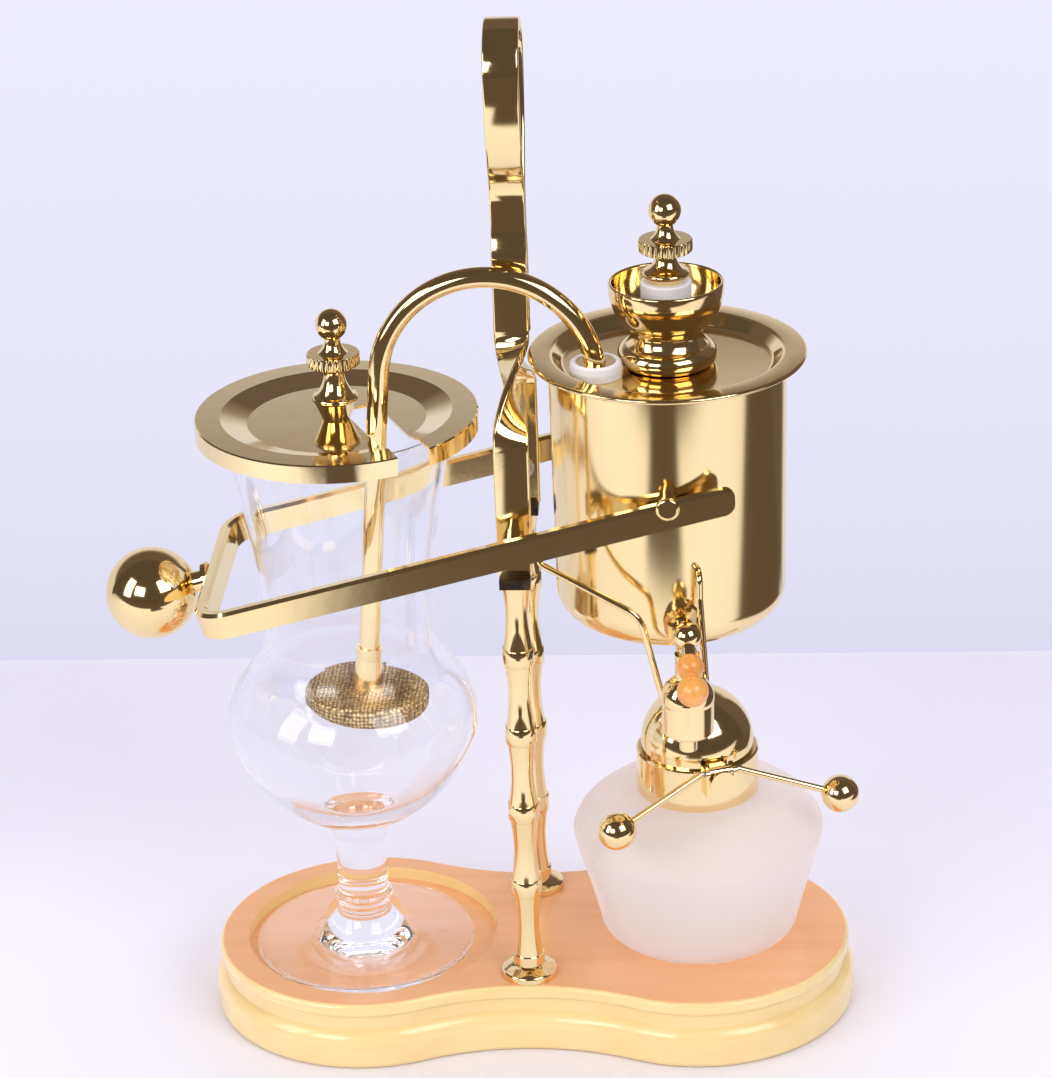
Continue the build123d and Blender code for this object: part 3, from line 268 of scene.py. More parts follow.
def pillar_outline(bottom, top):
    """Plain foot, then hollow waists whose radius follows a parabola, with a rounded band above each."""
    ring = bottom + pillar_plain
    waist_height = (top - ring - band_count * band_height) / (band_count + 1)
    share = np.linspace(0, 1, waist_steps)
    waist = pillar_waist + (pillar_radius - pillar_groove - pillar_waist) * (2 * share - 1) ** 2
    parts = [
        [(0, bottom), (pillar_radius - band_edge, bottom), (pillar_radius, bottom + band_edge)],
        [(pillar_radius, ring - plain_edge), (pillar_radius - plain_step, ring)],
    ]
    level = ring
    for number in range(band_count + 1):
        parts.append(np.stack([waist, level + share * waist_height], axis=1))
        level += waist_height
        if number < band_count:
            parts.append([(pillar_radius - band_step, level), (pillar_radius, level + band_edge)])
            level += band_height
            parts.append([(pillar_radius, level - band_edge), (pillar_radius - band_step, level)])
    return np.vstack([*parts, [(0, top)]])


def extent(node):
    """Lowest and highest corner of a carried-over node, in millimetres."""
    low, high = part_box(node)
    return np.array(low) / MM, np.array(high) / MM


gold = polished_gold("polished_gold")
for side in ("front", "rear"):
    low, high = extent(side + "_pillar")
    middle = (low + high) / 2
    block_low = extent(side + "_head_block")[0]
    foot_low, foot_high = extent(side + "_pillar_foot")
    outline = pillar_outline(foot_high[2] - foot_height + foot_seat, block_low[2])
    turned(side + "_pillar", outline, "stand", gold, middle[0], middle[1], turns=64)
    foot_radius = (foot_high[0] - foot_low[0]) / 2
    foot = rounded([
        (0, foot_low[2]),
        (foot_radius, foot_low[2], foot_edge),
        (foot_radius, foot_low[2] + foot_rim, foot_round),
        (foot_radius - foot_slope, foot_high[2] - foot_tuck, foot_round),
        (pillar_radius + foot_collar, foot_high[2], foot_tuck),
        (pillar_radius - foot_inset, foot_high[2] + foot_tuck),
        (0, foot_high[2] + foot_tuck),
    ])
    turned(side + "_pillar_foot", foot, "stand", gold, middle[0], middle[1], turns=72)

# Head blocks
# Small square blocks of dark metal between each pillar and the handle. Each sits on the pillar's pin, and
# the handle's strip is let into its top.
block_black = (0.020, 0.014, 0.010)
block_brown = (0.10, 0.06, 0.03)


def dark_metal_finish():
    """Blackened metal with brown, slightly rubbed patches."""
    material, tree, shader = new_material("dark_metal")
    cloud = noise(tree, scale=260)
    fill(tree, shader, {
        "Base Color": ramp(tree, cloud, [(0.35, block_black), (0.7, block_brown)]),
        "Roughness": spread(tree, cloud, low=0.25, high=0.5),
        "Metallic": 0.6,
    })
    return material


dark_metal = dark_metal_finish()
dress("front_head_block", dark_metal)
dress("rear_head_block", dark_metal)

# Carrying handle
# One flat gold strip: up from each block, twisted half a turn as the two sides draw together, pinched to a
# neck and bent over into an oval loop. Its long edges are rounded by polishing.
strip_width = 13.0
strip_thickness = 3.0
strip_edge = 0.8
strip_flat = 51.0
strip_twist = 33.0
strip_upper_offset = 5.2
strip_neck_offset = 2.6
strip_upper_straight = 27.0
neck_bend = 20.0
neck_straight = 8.0
loop_radius = 17.0
loop_rise = 50.0
loop_entry = 22.0
flat_steps = 24
twist_steps = 41


def bar_section(width, thickness, edge, steps=4):
    """Closed ring of (across, through) points: a rectangle with its four corners rounded."""
    turn = np.linspace(0, pi / 2, steps)
    corner = np.stack([np.cos(turn), np.sin(turn)], axis=1) * edge
    inner = np.array([width / 2 - edge, thickness / 2 - edge])
    quarters = []
    for quarter in range(4):
        spin = quarter * pi / 2
        turned_corner = corner @ np.array([[cos(spin), sin(spin)], [-sin(spin), cos(spin)]])
        sign = np.array([1 if quarter in (0, 3) else -1, 1 if quarter in (0, 1) else -1])
        quarters.append(turned_corner + inner * sign)
    return np.vstack(quarters)


def run(start, heading, moves, step=1.5):
    """Flat line from a start and heading: a move is (length, 0) straight or (radius, turn) along an arc."""
    points = [np.array([start], dtype=float)]
    here = np.array(start, dtype=float)
    for size, turn in moves:
        ahead = np.array([cos(heading), sin(heading)])
        if turn == 0:
            count = max(2, int(size / step))
            share = np.linspace(0, 1, count + 1)[1:, None]
            points.append(here + share * size * ahead)
        else:
            side = 1 if turn > 0 else -1
            centre = here + size * side * np.array([-ahead[1], ahead[0]])
            count = max(6, int(abs(turn) * size / step))
            spin = heading - side * pi / 2 + turn * np.linspace(0, 1, count + 1)[1:, None]
            points.append(centre + size * np.hstack([np.cos(spin), np.sin(spin)]))
            heading += turn
        here = points[-1][-1]
    return np.vstack(points)


def capped(rings):
    """Add a closing point row before the first ring and after the last."""
    first = np.repeat(rings[:1].mean(axis=1, keepdims=True), rings.shape[1], axis=1)
    last = np.repeat(rings[-1:].mean(axis=1, keepdims=True), rings.shape[1], axis=1)
    return np.concatenate([first, rings, last])


def handle_rings():
    """Rings of the strip's section along its front half, turned half a turn over the twist, then mirrored."""
    head_low, head_high = extent("front_head_block")
    reach = -(head_low[1] + head_high[1]) / 2
    foot = head_high[2]
    share = np.linspace(0, 1, twist_steps)
    ease = 3 * share**2 - 2 * share**3
    flat_z = np.linspace(foot, foot + strip_flat, flat_steps)[:-1]
    flat = np.stack([np.full_like(flat_z, -reach), flat_z], axis=1)
    inward = -reach + (reach - strip_upper_offset) * ease
    twist = np.stack([inward, foot + strip_flat + strip_twist * share], axis=1)
    pinch = np.arccos(1 - (strip_upper_offset - strip_neck_offset) / (2 * neck_bend))
    loop_turn = 2 * atan((loop_radius - strip_neck_offset) / loop_rise)
    loop_side = loop_rise / sin(loop_turn) - loop_entry
    neck = [(strip_upper_straight, 0), (neck_bend, -pinch), (neck_bend, pinch), (neck_straight, 0)]
    loop = [(loop_entry, loop_turn), (loop_side, -loop_turn), (loop_radius, -pi / 2)]
    upper = run(twist[-1], pi / 2, neck + loop)
    line = np.vstack([flat, twist, upper[1:]])
    turn = np.concatenate([np.zeros(len(flat)), pi * share, np.full(len(upper) - 1, pi)])
    ahead = np.gradient(line, axis=0)
    ahead /= np.linalg.norm(ahead, axis=1, keepdims=True)
    ahead[-1] = (1, 0)
    across = np.stack([np.cos(turn), np.sin(turn) * ahead[:, 1], -np.sin(turn) * ahead[:, 0]], axis=1)
    along = np.stack([np.zeros(len(line)), ahead[:, 0], ahead[:, 1]], axis=1)
    through = np.cross(along, across)
    centre = np.stack([np.zeros(len(line)), line[:, 0], line[:, 1]], axis=1)
    section = bar_section(strip_width, strip_thickness, strip_edge)[None]
    front = centre[:, None] + section[..., :1] * across[:, None] + section[..., 1:] * through[:, None]
    rear = front[::-1] * np.array([1, -1, 1])
    return capped(np.concatenate([front, rear[1:]])) * MM


strip = handle_rings()
strip_faces = grid_faces(*strip.shape[:2], close_columns=True)
finish_mesh("carrying_handle", strip, strip_faces, "stand", gold, sharp=50)

# Balance lever
# A flat gold strap bent to a U round the glass and the boiler, with its upper edges bevelled. It rocks on a
# pin and a spacer bush at each upright, and open notches near its two ends carry the boiler.
steel_dark = (0.42, 0.41, 0.40)
steel_pale = (0.62, 0.61, 0.59)


def plain_steel_finish():
    """Plain steel, a little clouded in its colour and gloss."""
    material, tree, shader = new_material("fixing_steel")
    cloud = noise(tree, scale=400, detail=2.0)
    fill(tree, shader, {
        "Base Color": ramp(tree, cloud, [(0.3, steel_dark), (0.7, steel_pale)]),
        "Roughness": spread(tree, cloud, low=0.22, high=0.36),
        "Metallic": 1.0,
    })
    return material


dress("lever_strap", polished_gold("strap_gold", dull=0.06, worn=0.16, marks=(6, 1, 1), mark_scale=700))
dress("lever_bushes", gold)
fixing_steel = plain_steel_finish()
for node in ("lever_pivot_pins", "pillar_screws", "hinge_pin"):
    dress(node, fixing_steel)

# Counterweight and trip wire
# A solid ball of gold-plated brass on a short stud at the lever's tail. A bent wire hangs from the front leg
# down to the tap.


def sphere_outline(radius, height, steps=49):
    """Half circle from the lowest to the highest point of a ball."""
    turn = np.linspace(0, pi, steps)
    return np.stack([radius * np.sin(turn), height - radius * np.cos(turn)], axis=1)


ball_low, ball_high = extent("counterweight_ball")
ball_x, ball_y, ball_z = (ball_low + ball_high) / 2
ball = sphere_outline((ball_high[1] - ball_low[1]) / 2, ball_z)
turned("counterweight_ball", ball, "lever", gold, ball_x, ball_y, turns=96)
dress("counterweight_stud", gold)
dress("trip_wire", gold)

# Boiler
# A spun can of gold-plated sheet, wider at its top by a little, with a soft lower edge. Its lid is a flat
# rim with a shallow dish, and it hangs from two trunnions with a round-headed screw in each.
can_wall = 0.6
can_edge = 12.0
can_taper = 0.9
lid_rim = 1.8
lid_edge = 0.85
lid_sheet = 0.8
lid_slope = 4.0
lid_dish_depth = 5.0
lid_dish_radius = 39.0
dish_round = 2.5
shoulder_round = 2.0
under_dish_round = 2.0
under_shoulder_round = 1.0
can_gold = (0.96, 0.77, 0.42)
can_gold_deep = (0.93, 0.73, 0.38)


def spun_gold_finish():
    """Gold plate over spun sheet: soft gloss that drifts a little, with faint upright wipe marks."""
    material, tree, shader = new_material("spun_gold")
    cloud = noise(tree, scale=25, stretch=(1, 1, 0.3))
    fill(tree, shader, {
        "Base Color": ramp(tree, cloud, [(0.35, can_gold_deep), (0.62, can_gold)]),
        "Roughness": spread(tree, cloud, low=0.10, high=0.17),
        "Metallic": 1.0,
        "Normal": bump(tree, noise(tree, scale=90, stretch=(1, 1, 0.15), detail=2.0), height=0.00002),
    })
    return material


can_low, can_high = extent("boiler_shell")
boiler_x = (can_low[0] + can_high[0]) / 2
can_floor = can_low[2]
can_radius = (can_high[1] - can_low[1]) / 2
can_lower = can_radius - can_taper
can = rounded(
    [
        (0, can_floor),
        (can_lower, can_floor, can_edge),
        (can_radius, can_high[2]),
        (can_radius - can_wall, can_high[2]),
        (can_lower - can_wall, can_floor + can_wall, can_edge - can_wall),
        (0, can_floor + can_wall),
    ],
    steps=16,
)
turned("boiler_shell", can, "boiler", spun_gold_finish(), boiler_x, turns=160)
lid_low, lid_high = extent("boiler_lid")
lid_radius = (lid_high[1] - lid_low[1]) / 2
lid_top = lid_high[2]
dish = lid_top - lid_dish_depth
lid_shoulder = lid_dish_radius + lid_slope
lid = rounded([
    (0, dish),
    (lid_dish_radius, dish, dish_round),
    (lid_shoulder, lid_top, shoulder_round),
    (lid_radius, lid_top, lid_edge),
    (lid_radius, lid_top - lid_rim, lid_edge),
    (lid_shoulder - lid_sheet, lid_top - lid_rim, under_shoulder_round),
    (lid_dish_radius, dish - lid_sheet, under_dish_round),
    (0, dish - lid_sheet),
])
turned("boiler_lid", lid, "boiler", gold, boiler_x, turns=160)
for node in ("front_trunnion", "rear_trunnion", "trunnion_screws"):
    dress(node, gold)

# Filler cup and plug
# A cast cup stands on the lid: a bulged ring, a waist and an open bowl. A white rubber seal closes its bore,
# and carries a turned knob with a bulged ring, a milled disc and a ball.
cup_base_share = 0.42
cup_waist_share = 0.3
cup_bulge = 3.0
cup_base_height = 8.0
cup_base_step = 0.4
cup_waist_height = 13.5
cup_waist_drop = 2.6
cup_waist_hollow = 0.3
cup_waist_step = 0.2
cup_belly_swell = 1.6
cup_belly_share = 0.36
cup_hollow_share = 0.42
cup_wall = 1.4
cup_lip = 0.6
cup_seam = 0.1
cup_bore = 8.3
seal_radius = 9.4
seal_gap = 0.3
seal_edge = 0.5
seal_crown = 0.9
milled_radius = 10.0
milled_height = 4.6
milled_edge = 0.4
milled_step = 0.5
milled_teeth = 30
milled_depth = 0.5
tooth_steps = 8
ring_radius = 8.0
ring_height = 2.4
ring_bulge = 0.7
ring_step = 0.6
ring_seam = 0.2
knob_waist = 4.2
knob_waist_hollow = 0.7
knob_neck = 3.0
knob_neck_flare = 2.6
knob_neck_hollow = 0.5
cast_gold_pale = (0.96, 0.76, 0.41)
cast_gold_deep = (0.92, 0.69, 0.34)
rubber_white = (0.90, 0.87, 0.91)
rubber_grey = (0.83, 0.80, 0.84)


def arc(first, through, last, steps=14):
    """Circular arc from the first point through the second to the last, about the centre of all three."""
    points = np.array([first, through, last])
    chords = 2 * (points[1:] - points[0])
    centre = np.linalg.solve(chords, (points[1:] ** 2).sum(axis=1) - (points[0] ** 2).sum())
    spokes = points - centre
    turns = np.arctan2(spokes[:, 1], spokes[:, 0])
    to_last = (turns[2] - turns[0]) % (2 * pi)
    if (turns[1] - turns[0]) % (2 * pi) > to_last:
        to_last -= 2 * pi
    spin = turns[0] + to_last * np.linspace(0, 1, steps)
    return centre + np.linalg.norm(spokes[0]) * np.stack([np.cos(spin), np.sin(spin)], axis=1)


def cast_gold_finish():
    """Gold over a casting: a little softer in its gloss, with shallow ripples."""
    material, tree, shader = new_material("cast_gold")
    cloud = noise(tree, scale=70)
    fill(tree, shader, {
        "Base Color": ramp(tree, cloud, [(0.35, cast_gold_deep), (0.62, cast_gold_pale)]),
        "Roughness": spread(tree, cloud, low=0.06, high=0.15),
        "Metallic": 1.0,
        "Normal": bump(tree, cloud, height=0.00006),
    })
    return material


def white_rubber_finish():
    """White moulded rubber, faintly clouded, with a fine grain."""
    material, tree, shader = new_material("white_rubber")
    cloud = noise(tree, scale=90)
    fill(tree, shader, {
        "Base Color": ramp(tree, cloud, [(0.3, rubber_grey), (0.7, rubber_white)]),
        "Roughness": spread(tree, cloud, low=0.38, high=0.52),
        "Subsurface Weight": 0.15,
        "Subsurface Radius": (0.003, 0.002, 0.002),
        "Normal": bump(tree, noise(tree, scale=1500, detail=2.0), height=0.00002),
    })
    return material


def knob_outline(foot, foot_reach, ring, disc_low, ball_height, ball_radius, steps=25):
    """Turned knob from its foot up: flared ring, waist, milled disc, hollow neck and ball."""
    disc_high = disc_low + milled_height
    ball_foot = ball_height - sqrt(ball_radius**2 - knob_neck**2)
    half_turn = np.linspace(pi - np.arcsin(knob_neck / ball_radius), 0, steps)
    crown = np.stack([np.sin(half_turn), np.cos(half_turn)], axis=1) * ball_radius + (0, ball_height)
    ring_middle = (ring_radius + ring_bulge, ring - ring_height / 2)
    waist_middle = (knob_waist + knob_waist_hollow, (2 * ring + disc_low) / 3)
    neck_middle = (knob_neck + knob_neck_hollow, (disc_high + ball_foot) / 2)
    return np.vstack([
        [(0, foot), (foot_reach, foot)],
        arc((ring_radius, ring - ring_height), ring_middle, (ring_radius, ring)),
        arc((ring_radius - ring_step, ring + ring_seam), waist_middle, (knob_waist, disc_low)),
        [(milled_radius - milled_step, disc_low), (milled_radius, disc_low + milled_edge)],
        [(milled_radius, disc_high - milled_edge), (milled_radius - milled_step, disc_high)],
        arc((knob_neck + knob_neck_flare, disc_high), neck_middle, (knob_neck, ball_foot)),
        crown,
    ])


def milled_knob(node, body, x, foot, foot_reach, ring_rise, disc_rise, ball_rise, ball_radius):
    """Knob with round-bottomed teeth: the disc's edge radius falls by a cosine wave of the turn."""
    disc_low = foot + disc_rise
    outline = knob_outline(foot, foot_reach, foot + ring_rise, disc_low, disc_low + ball_rise, ball_radius)
    turns = milled_teeth * tooth_steps
    points = around(outline, turns=turns)
    angle = np.linspace(0, 2 * pi, turns, endpoint=False)[:, None]
    wave = (1 - np.cos(milled_teeth * angle)) / 2
    edge = np.isclose(outline[None, :, 0], milled_radius)
    depth = np.where(edge, milled_depth * wave / milled_radius, 0.0)
    points[..., :2] *= (1 - depth)[..., None]
    points[..., 0] += x * MM
    finish_mesh(node, points, grid_faces(turns, len(outline), True), body, gold, sharp=38)


cast_gold = cast_gold_finish()
white_rubber = white_rubber_finish()
cup_low, cup_high = extent("filler_cup")
cup_foot = cup_low[2]
cup_rim = cup_high[2]
rim_radius = (cup_high[1] - cup_low[1]) / 2
rim_inner = rim_radius - cup_wall
rim_edge = cup_rim - cup_lip
cup_base = can_radius * cup_base_share
base_edge = cup_base - cup_bulge
base_top = cup_foot + cup_base_height
cup_waist = can_radius * cup_waist_share
waist_z = cup_foot + cup_waist_height
waist_bend = (cup_waist + cup_waist_hollow, waist_z - cup_waist_drop)
cup_floor = waist_z + cup_wall
cup_depth = cup_rim - waist_z
cup_belly = (rim_radius + cup_waist) / 2 + cup_belly_swell
belly = (cup_belly, waist_z + cup_depth * cup_belly_share)
hollow = (cup_belly - cup_wall, waist_z + cup_depth * cup_hollow_share)
cup = np.vstack([
    [(cup_bore, cup_foot)],
    arc((base_edge, cup_foot), (cup_base, cup_foot + cup_base_height / 2), (base_edge, base_top)),
    arc((base_edge - cup_base_step, base_top), waist_bend, (cup_waist, waist_z)),
    arc((cup_waist + cup_waist_step, waist_z + cup_seam), belly, (rim_radius, rim_edge), steps=24),
    arc((rim_radius, rim_edge), (rim_radius - cup_lip, cup_rim), (rim_inner, rim_edge), steps=7),
    arc((rim_inner, rim_edge - cup_seam), hollow, (cup_waist - cup_wall, cup_floor), steps=24),
    [(cup_bore, cup_floor)],
])
turned("filler_cup", cup, "boiler", cast_gold, boiler_x, closed=True)
seal_low, seal_high = extent("plug_seal")
seal_stem = cup_bore - seal_gap
seal_seat = cup_floor + seal_gap
seal = rounded([
    (0, seal_low[2]),
    (seal_stem, seal_low[2], seal_edge),
    (seal_stem, seal_seat),
    (seal_radius, seal_seat, seal_edge),
    (seal_radius, seal_high[2], seal_crown),
    (0, seal_high[2]),
])
turned("plug_seal", seal, "filler_plug", white_rubber, boiler_x, turns=72)
milled_knob(
    "plug_knob", "filler_plug", boiler_x, seal_high[2],
    foot_reach=7.0, ring_rise=4.0, disc_rise=11.5, ball_rise=15.4, ball_radius=6.1,
)

# Siphon tube and stopper
# One drawn tube of gold-plated brass, bent over from the boiler into the glass. A white rubber ring with a
# cast bush seals it in the boiler's lid.
stopper_wall = 2.4
stopper_edge = 0.3
stopper_floor = 0.4
stopper_belly = 3.0
stopper_belly_round = 2.0
stopper_draft = 0.4
stopper_shoulder = 0.6
stopper_shoulder_round = 0.8
stopper_crown = 1.2
stopper_crown_round = 0.6
stopper_crown_drop = 0.2
stopper_low, stopper_high = extent("tube_stopper")
stopper_x, stopper_y = ((stopper_low + stopper_high) / 2)[:2]
stopper_top = stopper_high[2]
stopper_outer = (stopper_high[1] - stopper_low[1]) / 2
stopper_inner = stopper_outer - stopper_wall
stopper = rounded([
    (0, dish + stopper_edge),
    (stopper_outer - stopper_edge, dish, stopper_edge),
    (stopper_outer, dish + stopper_belly, stopper_belly_round),
    (stopper_outer - stopper_draft, stopper_top - stopper_shoulder, stopper_shoulder_round),
    (stopper_outer - stopper_crown, stopper_top, stopper_crown_round),
    (stopper_inner, stopper_top - stopper_crown_drop, stopper_edge),
    (stopper_inner, dish + stopper_floor),
    (0, dish + stopper_floor),
])
turned("tube_stopper", stopper, "boiler", white_rubber, stopper_x, stopper_y, turns=72)
dress("tube_bush", cast_gold)
tube_gold = polished_gold("tube_gold", dull=0.05, worn=0.12, marks=(1, 1, 0.2), mark_scale=500)
dress("siphon_tube", tube_gold)

# Filter
# A drum wrapped in brass wire cloth, clamped to a tapered socket on the tube's lower end. It lies square to
# the leaning tube.
tube_end = np.array([-58.475, -12.5, 153.5])
tube_lean = radians(4.63)
socket_length = 12.0
socket_radius = 5.8
socket_fit = 0.1
filter_radius = 23.4
filter_height = 8.0
filter_round = 2.6
weave_pitch = 1.5
weave_depth = 0.22
weave_fade = 6.0
wave_steps = 6
drum_steps = 130
# The cloth's colours run from a painted glint on each wire crest, through brown, to painted shade in the
# gaps.
wire_painted_glint = (0.95, 0.76, 0.44)
wire_brown = (0.46, 0.30, 0.13)
gap_painted_shade = (0.15, 0.09, 0.04)


def wire_cloth_finish():
    """Brass wire cloth: painted glints on the crests of wire over painted shade in the gaps, from cells
    around loose grid points.
    """
    material, tree, shader = new_material("filter_mesh")
    place = tree.nodes.new("ShaderNodeTexCoord").outputs["Object"]
    grid = {"Vector": place, "Scale": 1 / (weave_pitch * MM), "Randomness": 0.35}
    crest = make_node(tree, "ShaderNodeTexVoronoi", grid).outputs["Distance"]
    fill(tree, shader, {
        # Painted glints at the crests and painted shade in the gaps, by distance to each cell's centre.
        "Base Color": ramp(tree, crest, [(0.15, wire_painted_glint), (0.45, wire_brown), (0.7, gap_painted_shade)]),
        "Roughness": spread(tree, crest, low=0.25, high=0.5),
        "Metallic": 0.85,
    })
    return material


def woven_drum():
    """Drum outline carried round a leaning axis, lifted by a wave along it times a wave around it."""
    corners = [
        (socket_radius - socket_fit, 0.0),
        (filter_radius, 0.0, filter_round),
        (filter_radius, filter_height, filter_round),
        (0.0, filter_height),
    ]
    coarse = rounded(corners, steps=10)
    length = np.concatenate([[0], np.cumsum(np.linalg.norm(np.diff(coarse, axis=0), axis=1))])
    travel = np.linspace(0, length[-1], drum_steps)
    outline = np.stack([np.interp(travel, length, coarse[:, column]) for column in (0, 1)], axis=1)
    way = np.gradient(outline, axis=0)
    way /= np.linalg.norm(way, axis=1, keepdims=True)
    outward = np.stack([way[:, 1], -way[:, 0]], axis=1)
    waves = int(2 * pi * filter_radius / weave_pitch)
    angle = np.linspace(0, 2 * pi, waves * wave_steps, endpoint=False)[:, None]
    fade = np.clip(outline[:, 0] / weave_fade, 0, 1)
    lift = weave_depth * np.sin(2 * pi * travel / weave_pitch) * np.sin(waves * angle) * fade
    radius = outline[None, :, 0] + lift * outward[None, :, 0]
    depth = outline[None, :, 1] + lift * outward[None, :, 1] + socket_length
    side_way = np.array([cos(tube_lean), 0, -sin(tube_lean)])
    down = np.array([-sin(tube_lean), 0, -cos(tube_lean)])
    rear_way = np.array([0.0, 1.0, 0.0])
    ring = np.cos(angle)[..., None] * side_way + np.sin(angle)[..., None] * rear_way
    return (tube_end + depth[..., None] * down + radius[..., None] * ring) * MM


drum = woven_drum()
wire_cloth = wire_cloth_finish()
drum_faces = grid_faces(*drum.shape[:2], close_rows=True)
finish_mesh("filter_cloth", drum, drum_faces, "boiler", wire_cloth, sharp=180)
dress("filter_disc", wire_cloth)
dress("filter_socket", tube_gold)

# Tap
# A small brass tap under the boiler: a pipe from a collar on the wall, a ball and a bell with a spout. A
# wire stay steadies it, and its turned wooden grip slopes forward.
grip_pale = (0.93, 0.42, 0.10)
grip_deep = (0.84, 0.33, 0.06)
grip_grain = (2.0, 0.4, 2.0)
dress("tap_knob", lacquered_wood("grip_wood", grip_pale, grip_deep, grip_pale, grip_deep, grip_grain))
for node in ("tap_collar", "tap_body", "tap_spindle", "tap_stay"):
    dress(node, gold)

# Stemmed glass
# Blown clear glass in one piece: flat foot, short stem with a knop, round bulb, narrow neck and flared
# mouth. It stands in the base's round recess.
glass_wall = 2.2
# Points, and all heights of the glass, are measured up from the underside of its foot.
glass_foot_under = [(0, 2.2), (14, 2.0), (28, 1.3), (38, 0.4), (40.5, 0.05)]
glass_foot_ground = (40.6, 0.05)
glass_foot_radius = 43.2
glass_foot_height = 3.0
glass_foot_lower_round = 1.2
glass_foot_upper_round = 1.4
stem_start = (21.0, 4.9)
knop = [(15.5, 8.6), (11.6, 13.5), (10.2, 18.4), (11.5, 22.2)]
stem_radius = 10.0
stem_low = 26.0
stem_high = 38.0
stem_swell = 0.9
stem_swell_height = 49.0
root_radius = 14.5
root_height = 57.0
bulb_floor = 59.0
bulb_radius = 48.7
bulb_height = 97.0
bulb_corner_radius_share = 0.7
bulb_corner_height_share = 0.3
inner_corner_share = 0.8
shoulder_bow = 1.8
crook_step = 5.2
crook_height = 122.0
neck_radius = 33.0
neck_height = 136.0
neck_bow = 1.2
neck_bow_drop = 1.0
flare_share = 0.22
mouth_radius = 46.4
lip_drop = 0.9
lip_seam = 0.1
glass_tint = (0.97, 0.98, 0.99)
glass_clear = (1.0, 1.0, 1.0)


def smooth(points, steps=10):
    """Smooth line through points: each span is a cubic whose end slopes follow its neighbours."""
    points = np.array(points, dtype=float)
    padded = np.vstack([2 * points[0] - points[1], points, 2 * points[-1] - points[-2]])
    slope = (padded[2:] - padded[:-2]) / 2
    share = np.linspace(0, 1, steps, endpoint=False)[None, :, None]
    first, last = points[:-1, None], points[1:, None]
    blend = (2 * share**3 - 3 * share**2 + 1) * first + (share**3 - 2 * share**2 + share) * slope[:-1, None]
    blend = blend + (3 * share**2 - 2 * share**3) * last + (share**3 - share**2) * slope[1:, None]
    return np.vstack([blend.reshape(-1, 2), points[-1:]])


def combine(tree, operation, first, second):
    """One maths node over two value outputs."""
    node = make_node(tree, "ShaderNodeMath", {0: first, 1: second})
    node.operation = operation
    return node.outputs["Value"]


def mix_shaders(tree, factor, first, second):
    """Mix two shader outputs by a factor."""
    return make_node(tree, "ShaderNodeMixShader", {0: factor, 1: first, 2: second}).outputs["Shader"]


def pass_light(tree, shader, share):
    """Let a share of the light that falls on a piece, or bounces often in it, go on to what is behind."""
    rays = tree.nodes.new("ShaderNodeLightPath").outputs
    through = combine(tree, "MAXIMUM", rays["Is Shadow Ray"], rays["Is Diffuse Ray"])
    through = combine(tree, "MAXIMUM", through, band(tree, rays["Ray Depth"], start=4.0, end=5.0))
    clear = tree.nodes.new("ShaderNodeBsdfTransparent").outputs["BSDF"]
    shown = mix_shaders(tree, spread(tree, through, 0.0, share), shader, clear)
    fill(tree, tree.nodes["Material Output"], {"Surface": shown})


def clear_glass_finish():
    """Clear glass, its surface barely rippled as blown glass is."""
    material, tree, shader = new_material("clear_glass")
    ripple = noise(tree, scale=35, stretch=(1, 1, 0.6), detail=2.0)
    fill(tree, shader, {
        "Base Color": ramp(tree, ripple, [(0.3, glass_tint), (0.7, glass_clear)]),
        "Roughness": 0.0,
        "Transmission Weight": 1.0,
        "IOR": 1.46,
        "Normal": bump(tree, ripple, height=0.00004),
    })
    pass_light(tree, shader.outputs["BSDF"], share=0.92)
    return material


glass_low, glass_high = extent("glass_goblet")
glass_x = (glass_low[0] + glass_high[0]) / 2
glass_floor = glass_low[2]
mouth_height = glass_high[2] - glass_floor


def glass_bowl(root, corner_inset, inset):
    """Arcs from root to lip: ball, shoulder, crook and flare, drawn in by an inset for the inside."""
    bulb = (bulb_radius - inset, bulb_height)
    crook = (neck_radius + crook_step - inset, crook_height)
    neck = (neck_radius - inset, neck_height)
    lip = (mouth_radius - inset, mouth_height - lip_drop)
    corner_z = bulb_floor + (bulb_height - bulb_floor) * bulb_corner_height_share + corner_inset
    corner = (bulb_radius * bulb_corner_radius_share - corner_inset, corner_z)
    shoulder = (bulb[0] - shoulder_bow, (bulb[1] + crook[1]) / 2)
    bend = (neck[0] + neck_bow, (crook[1] + neck[1]) / 2 - neck_bow_drop)
    flare = (neck[0] + (lip[0] - neck[0]) * flare_share, (neck[1] + mouth_height) / 2)
    spans = [(root, corner, bulb), (bulb, shoulder, crook), (crook, bend, neck), (neck, flare, lip)]
    return np.vstack([arc(*span, steps=24)[:-1] for span in spans] + [[lip]])


def glass_outline():
    """Closed run of (radius, height) points: hollow under the foot, foot, stem, bowl, lip and the inside."""
    rim = [
        glass_foot_ground,
        (glass_foot_radius, glass_foot_ground[1], glass_foot_lower_round),
        (glass_foot_radius, glass_foot_height, glass_foot_upper_round),
        stem_start,
    ]
    root = (root_radius, root_height)
    shaft = [(stem_radius, stem_low), (stem_radius, stem_high), (stem_radius + stem_swell, stem_swell_height)]
    stem = smooth([stem_start, *knop, *shaft, root])
    lip_z = mouth_height - lip_drop + lip_seam
    middle = (mouth_radius - glass_wall / 2, mouth_height)
    lip = arc((mouth_radius, lip_z), middle, (mouth_radius - glass_wall, lip_z), steps=9)
    inner_root = (stem_radius, bulb_floor + glass_wall)
    inside = glass_bowl(inner_root, glass_wall * inner_corner_share, glass_wall)[::-1]
    foot = [smooth(glass_foot_under, steps=6), rounded(rim)[:-1]]
    parts = [*foot, stem[:-1], glass_bowl(root, 0.0, 0.0), lip, inside, [(0, inner_root[1])]]
    return np.vstack(parts) + (0, glass_floor)


turned("glass_goblet", glass_outline(), "stand", clear_glass_finish(), glass_x, sharp=70)

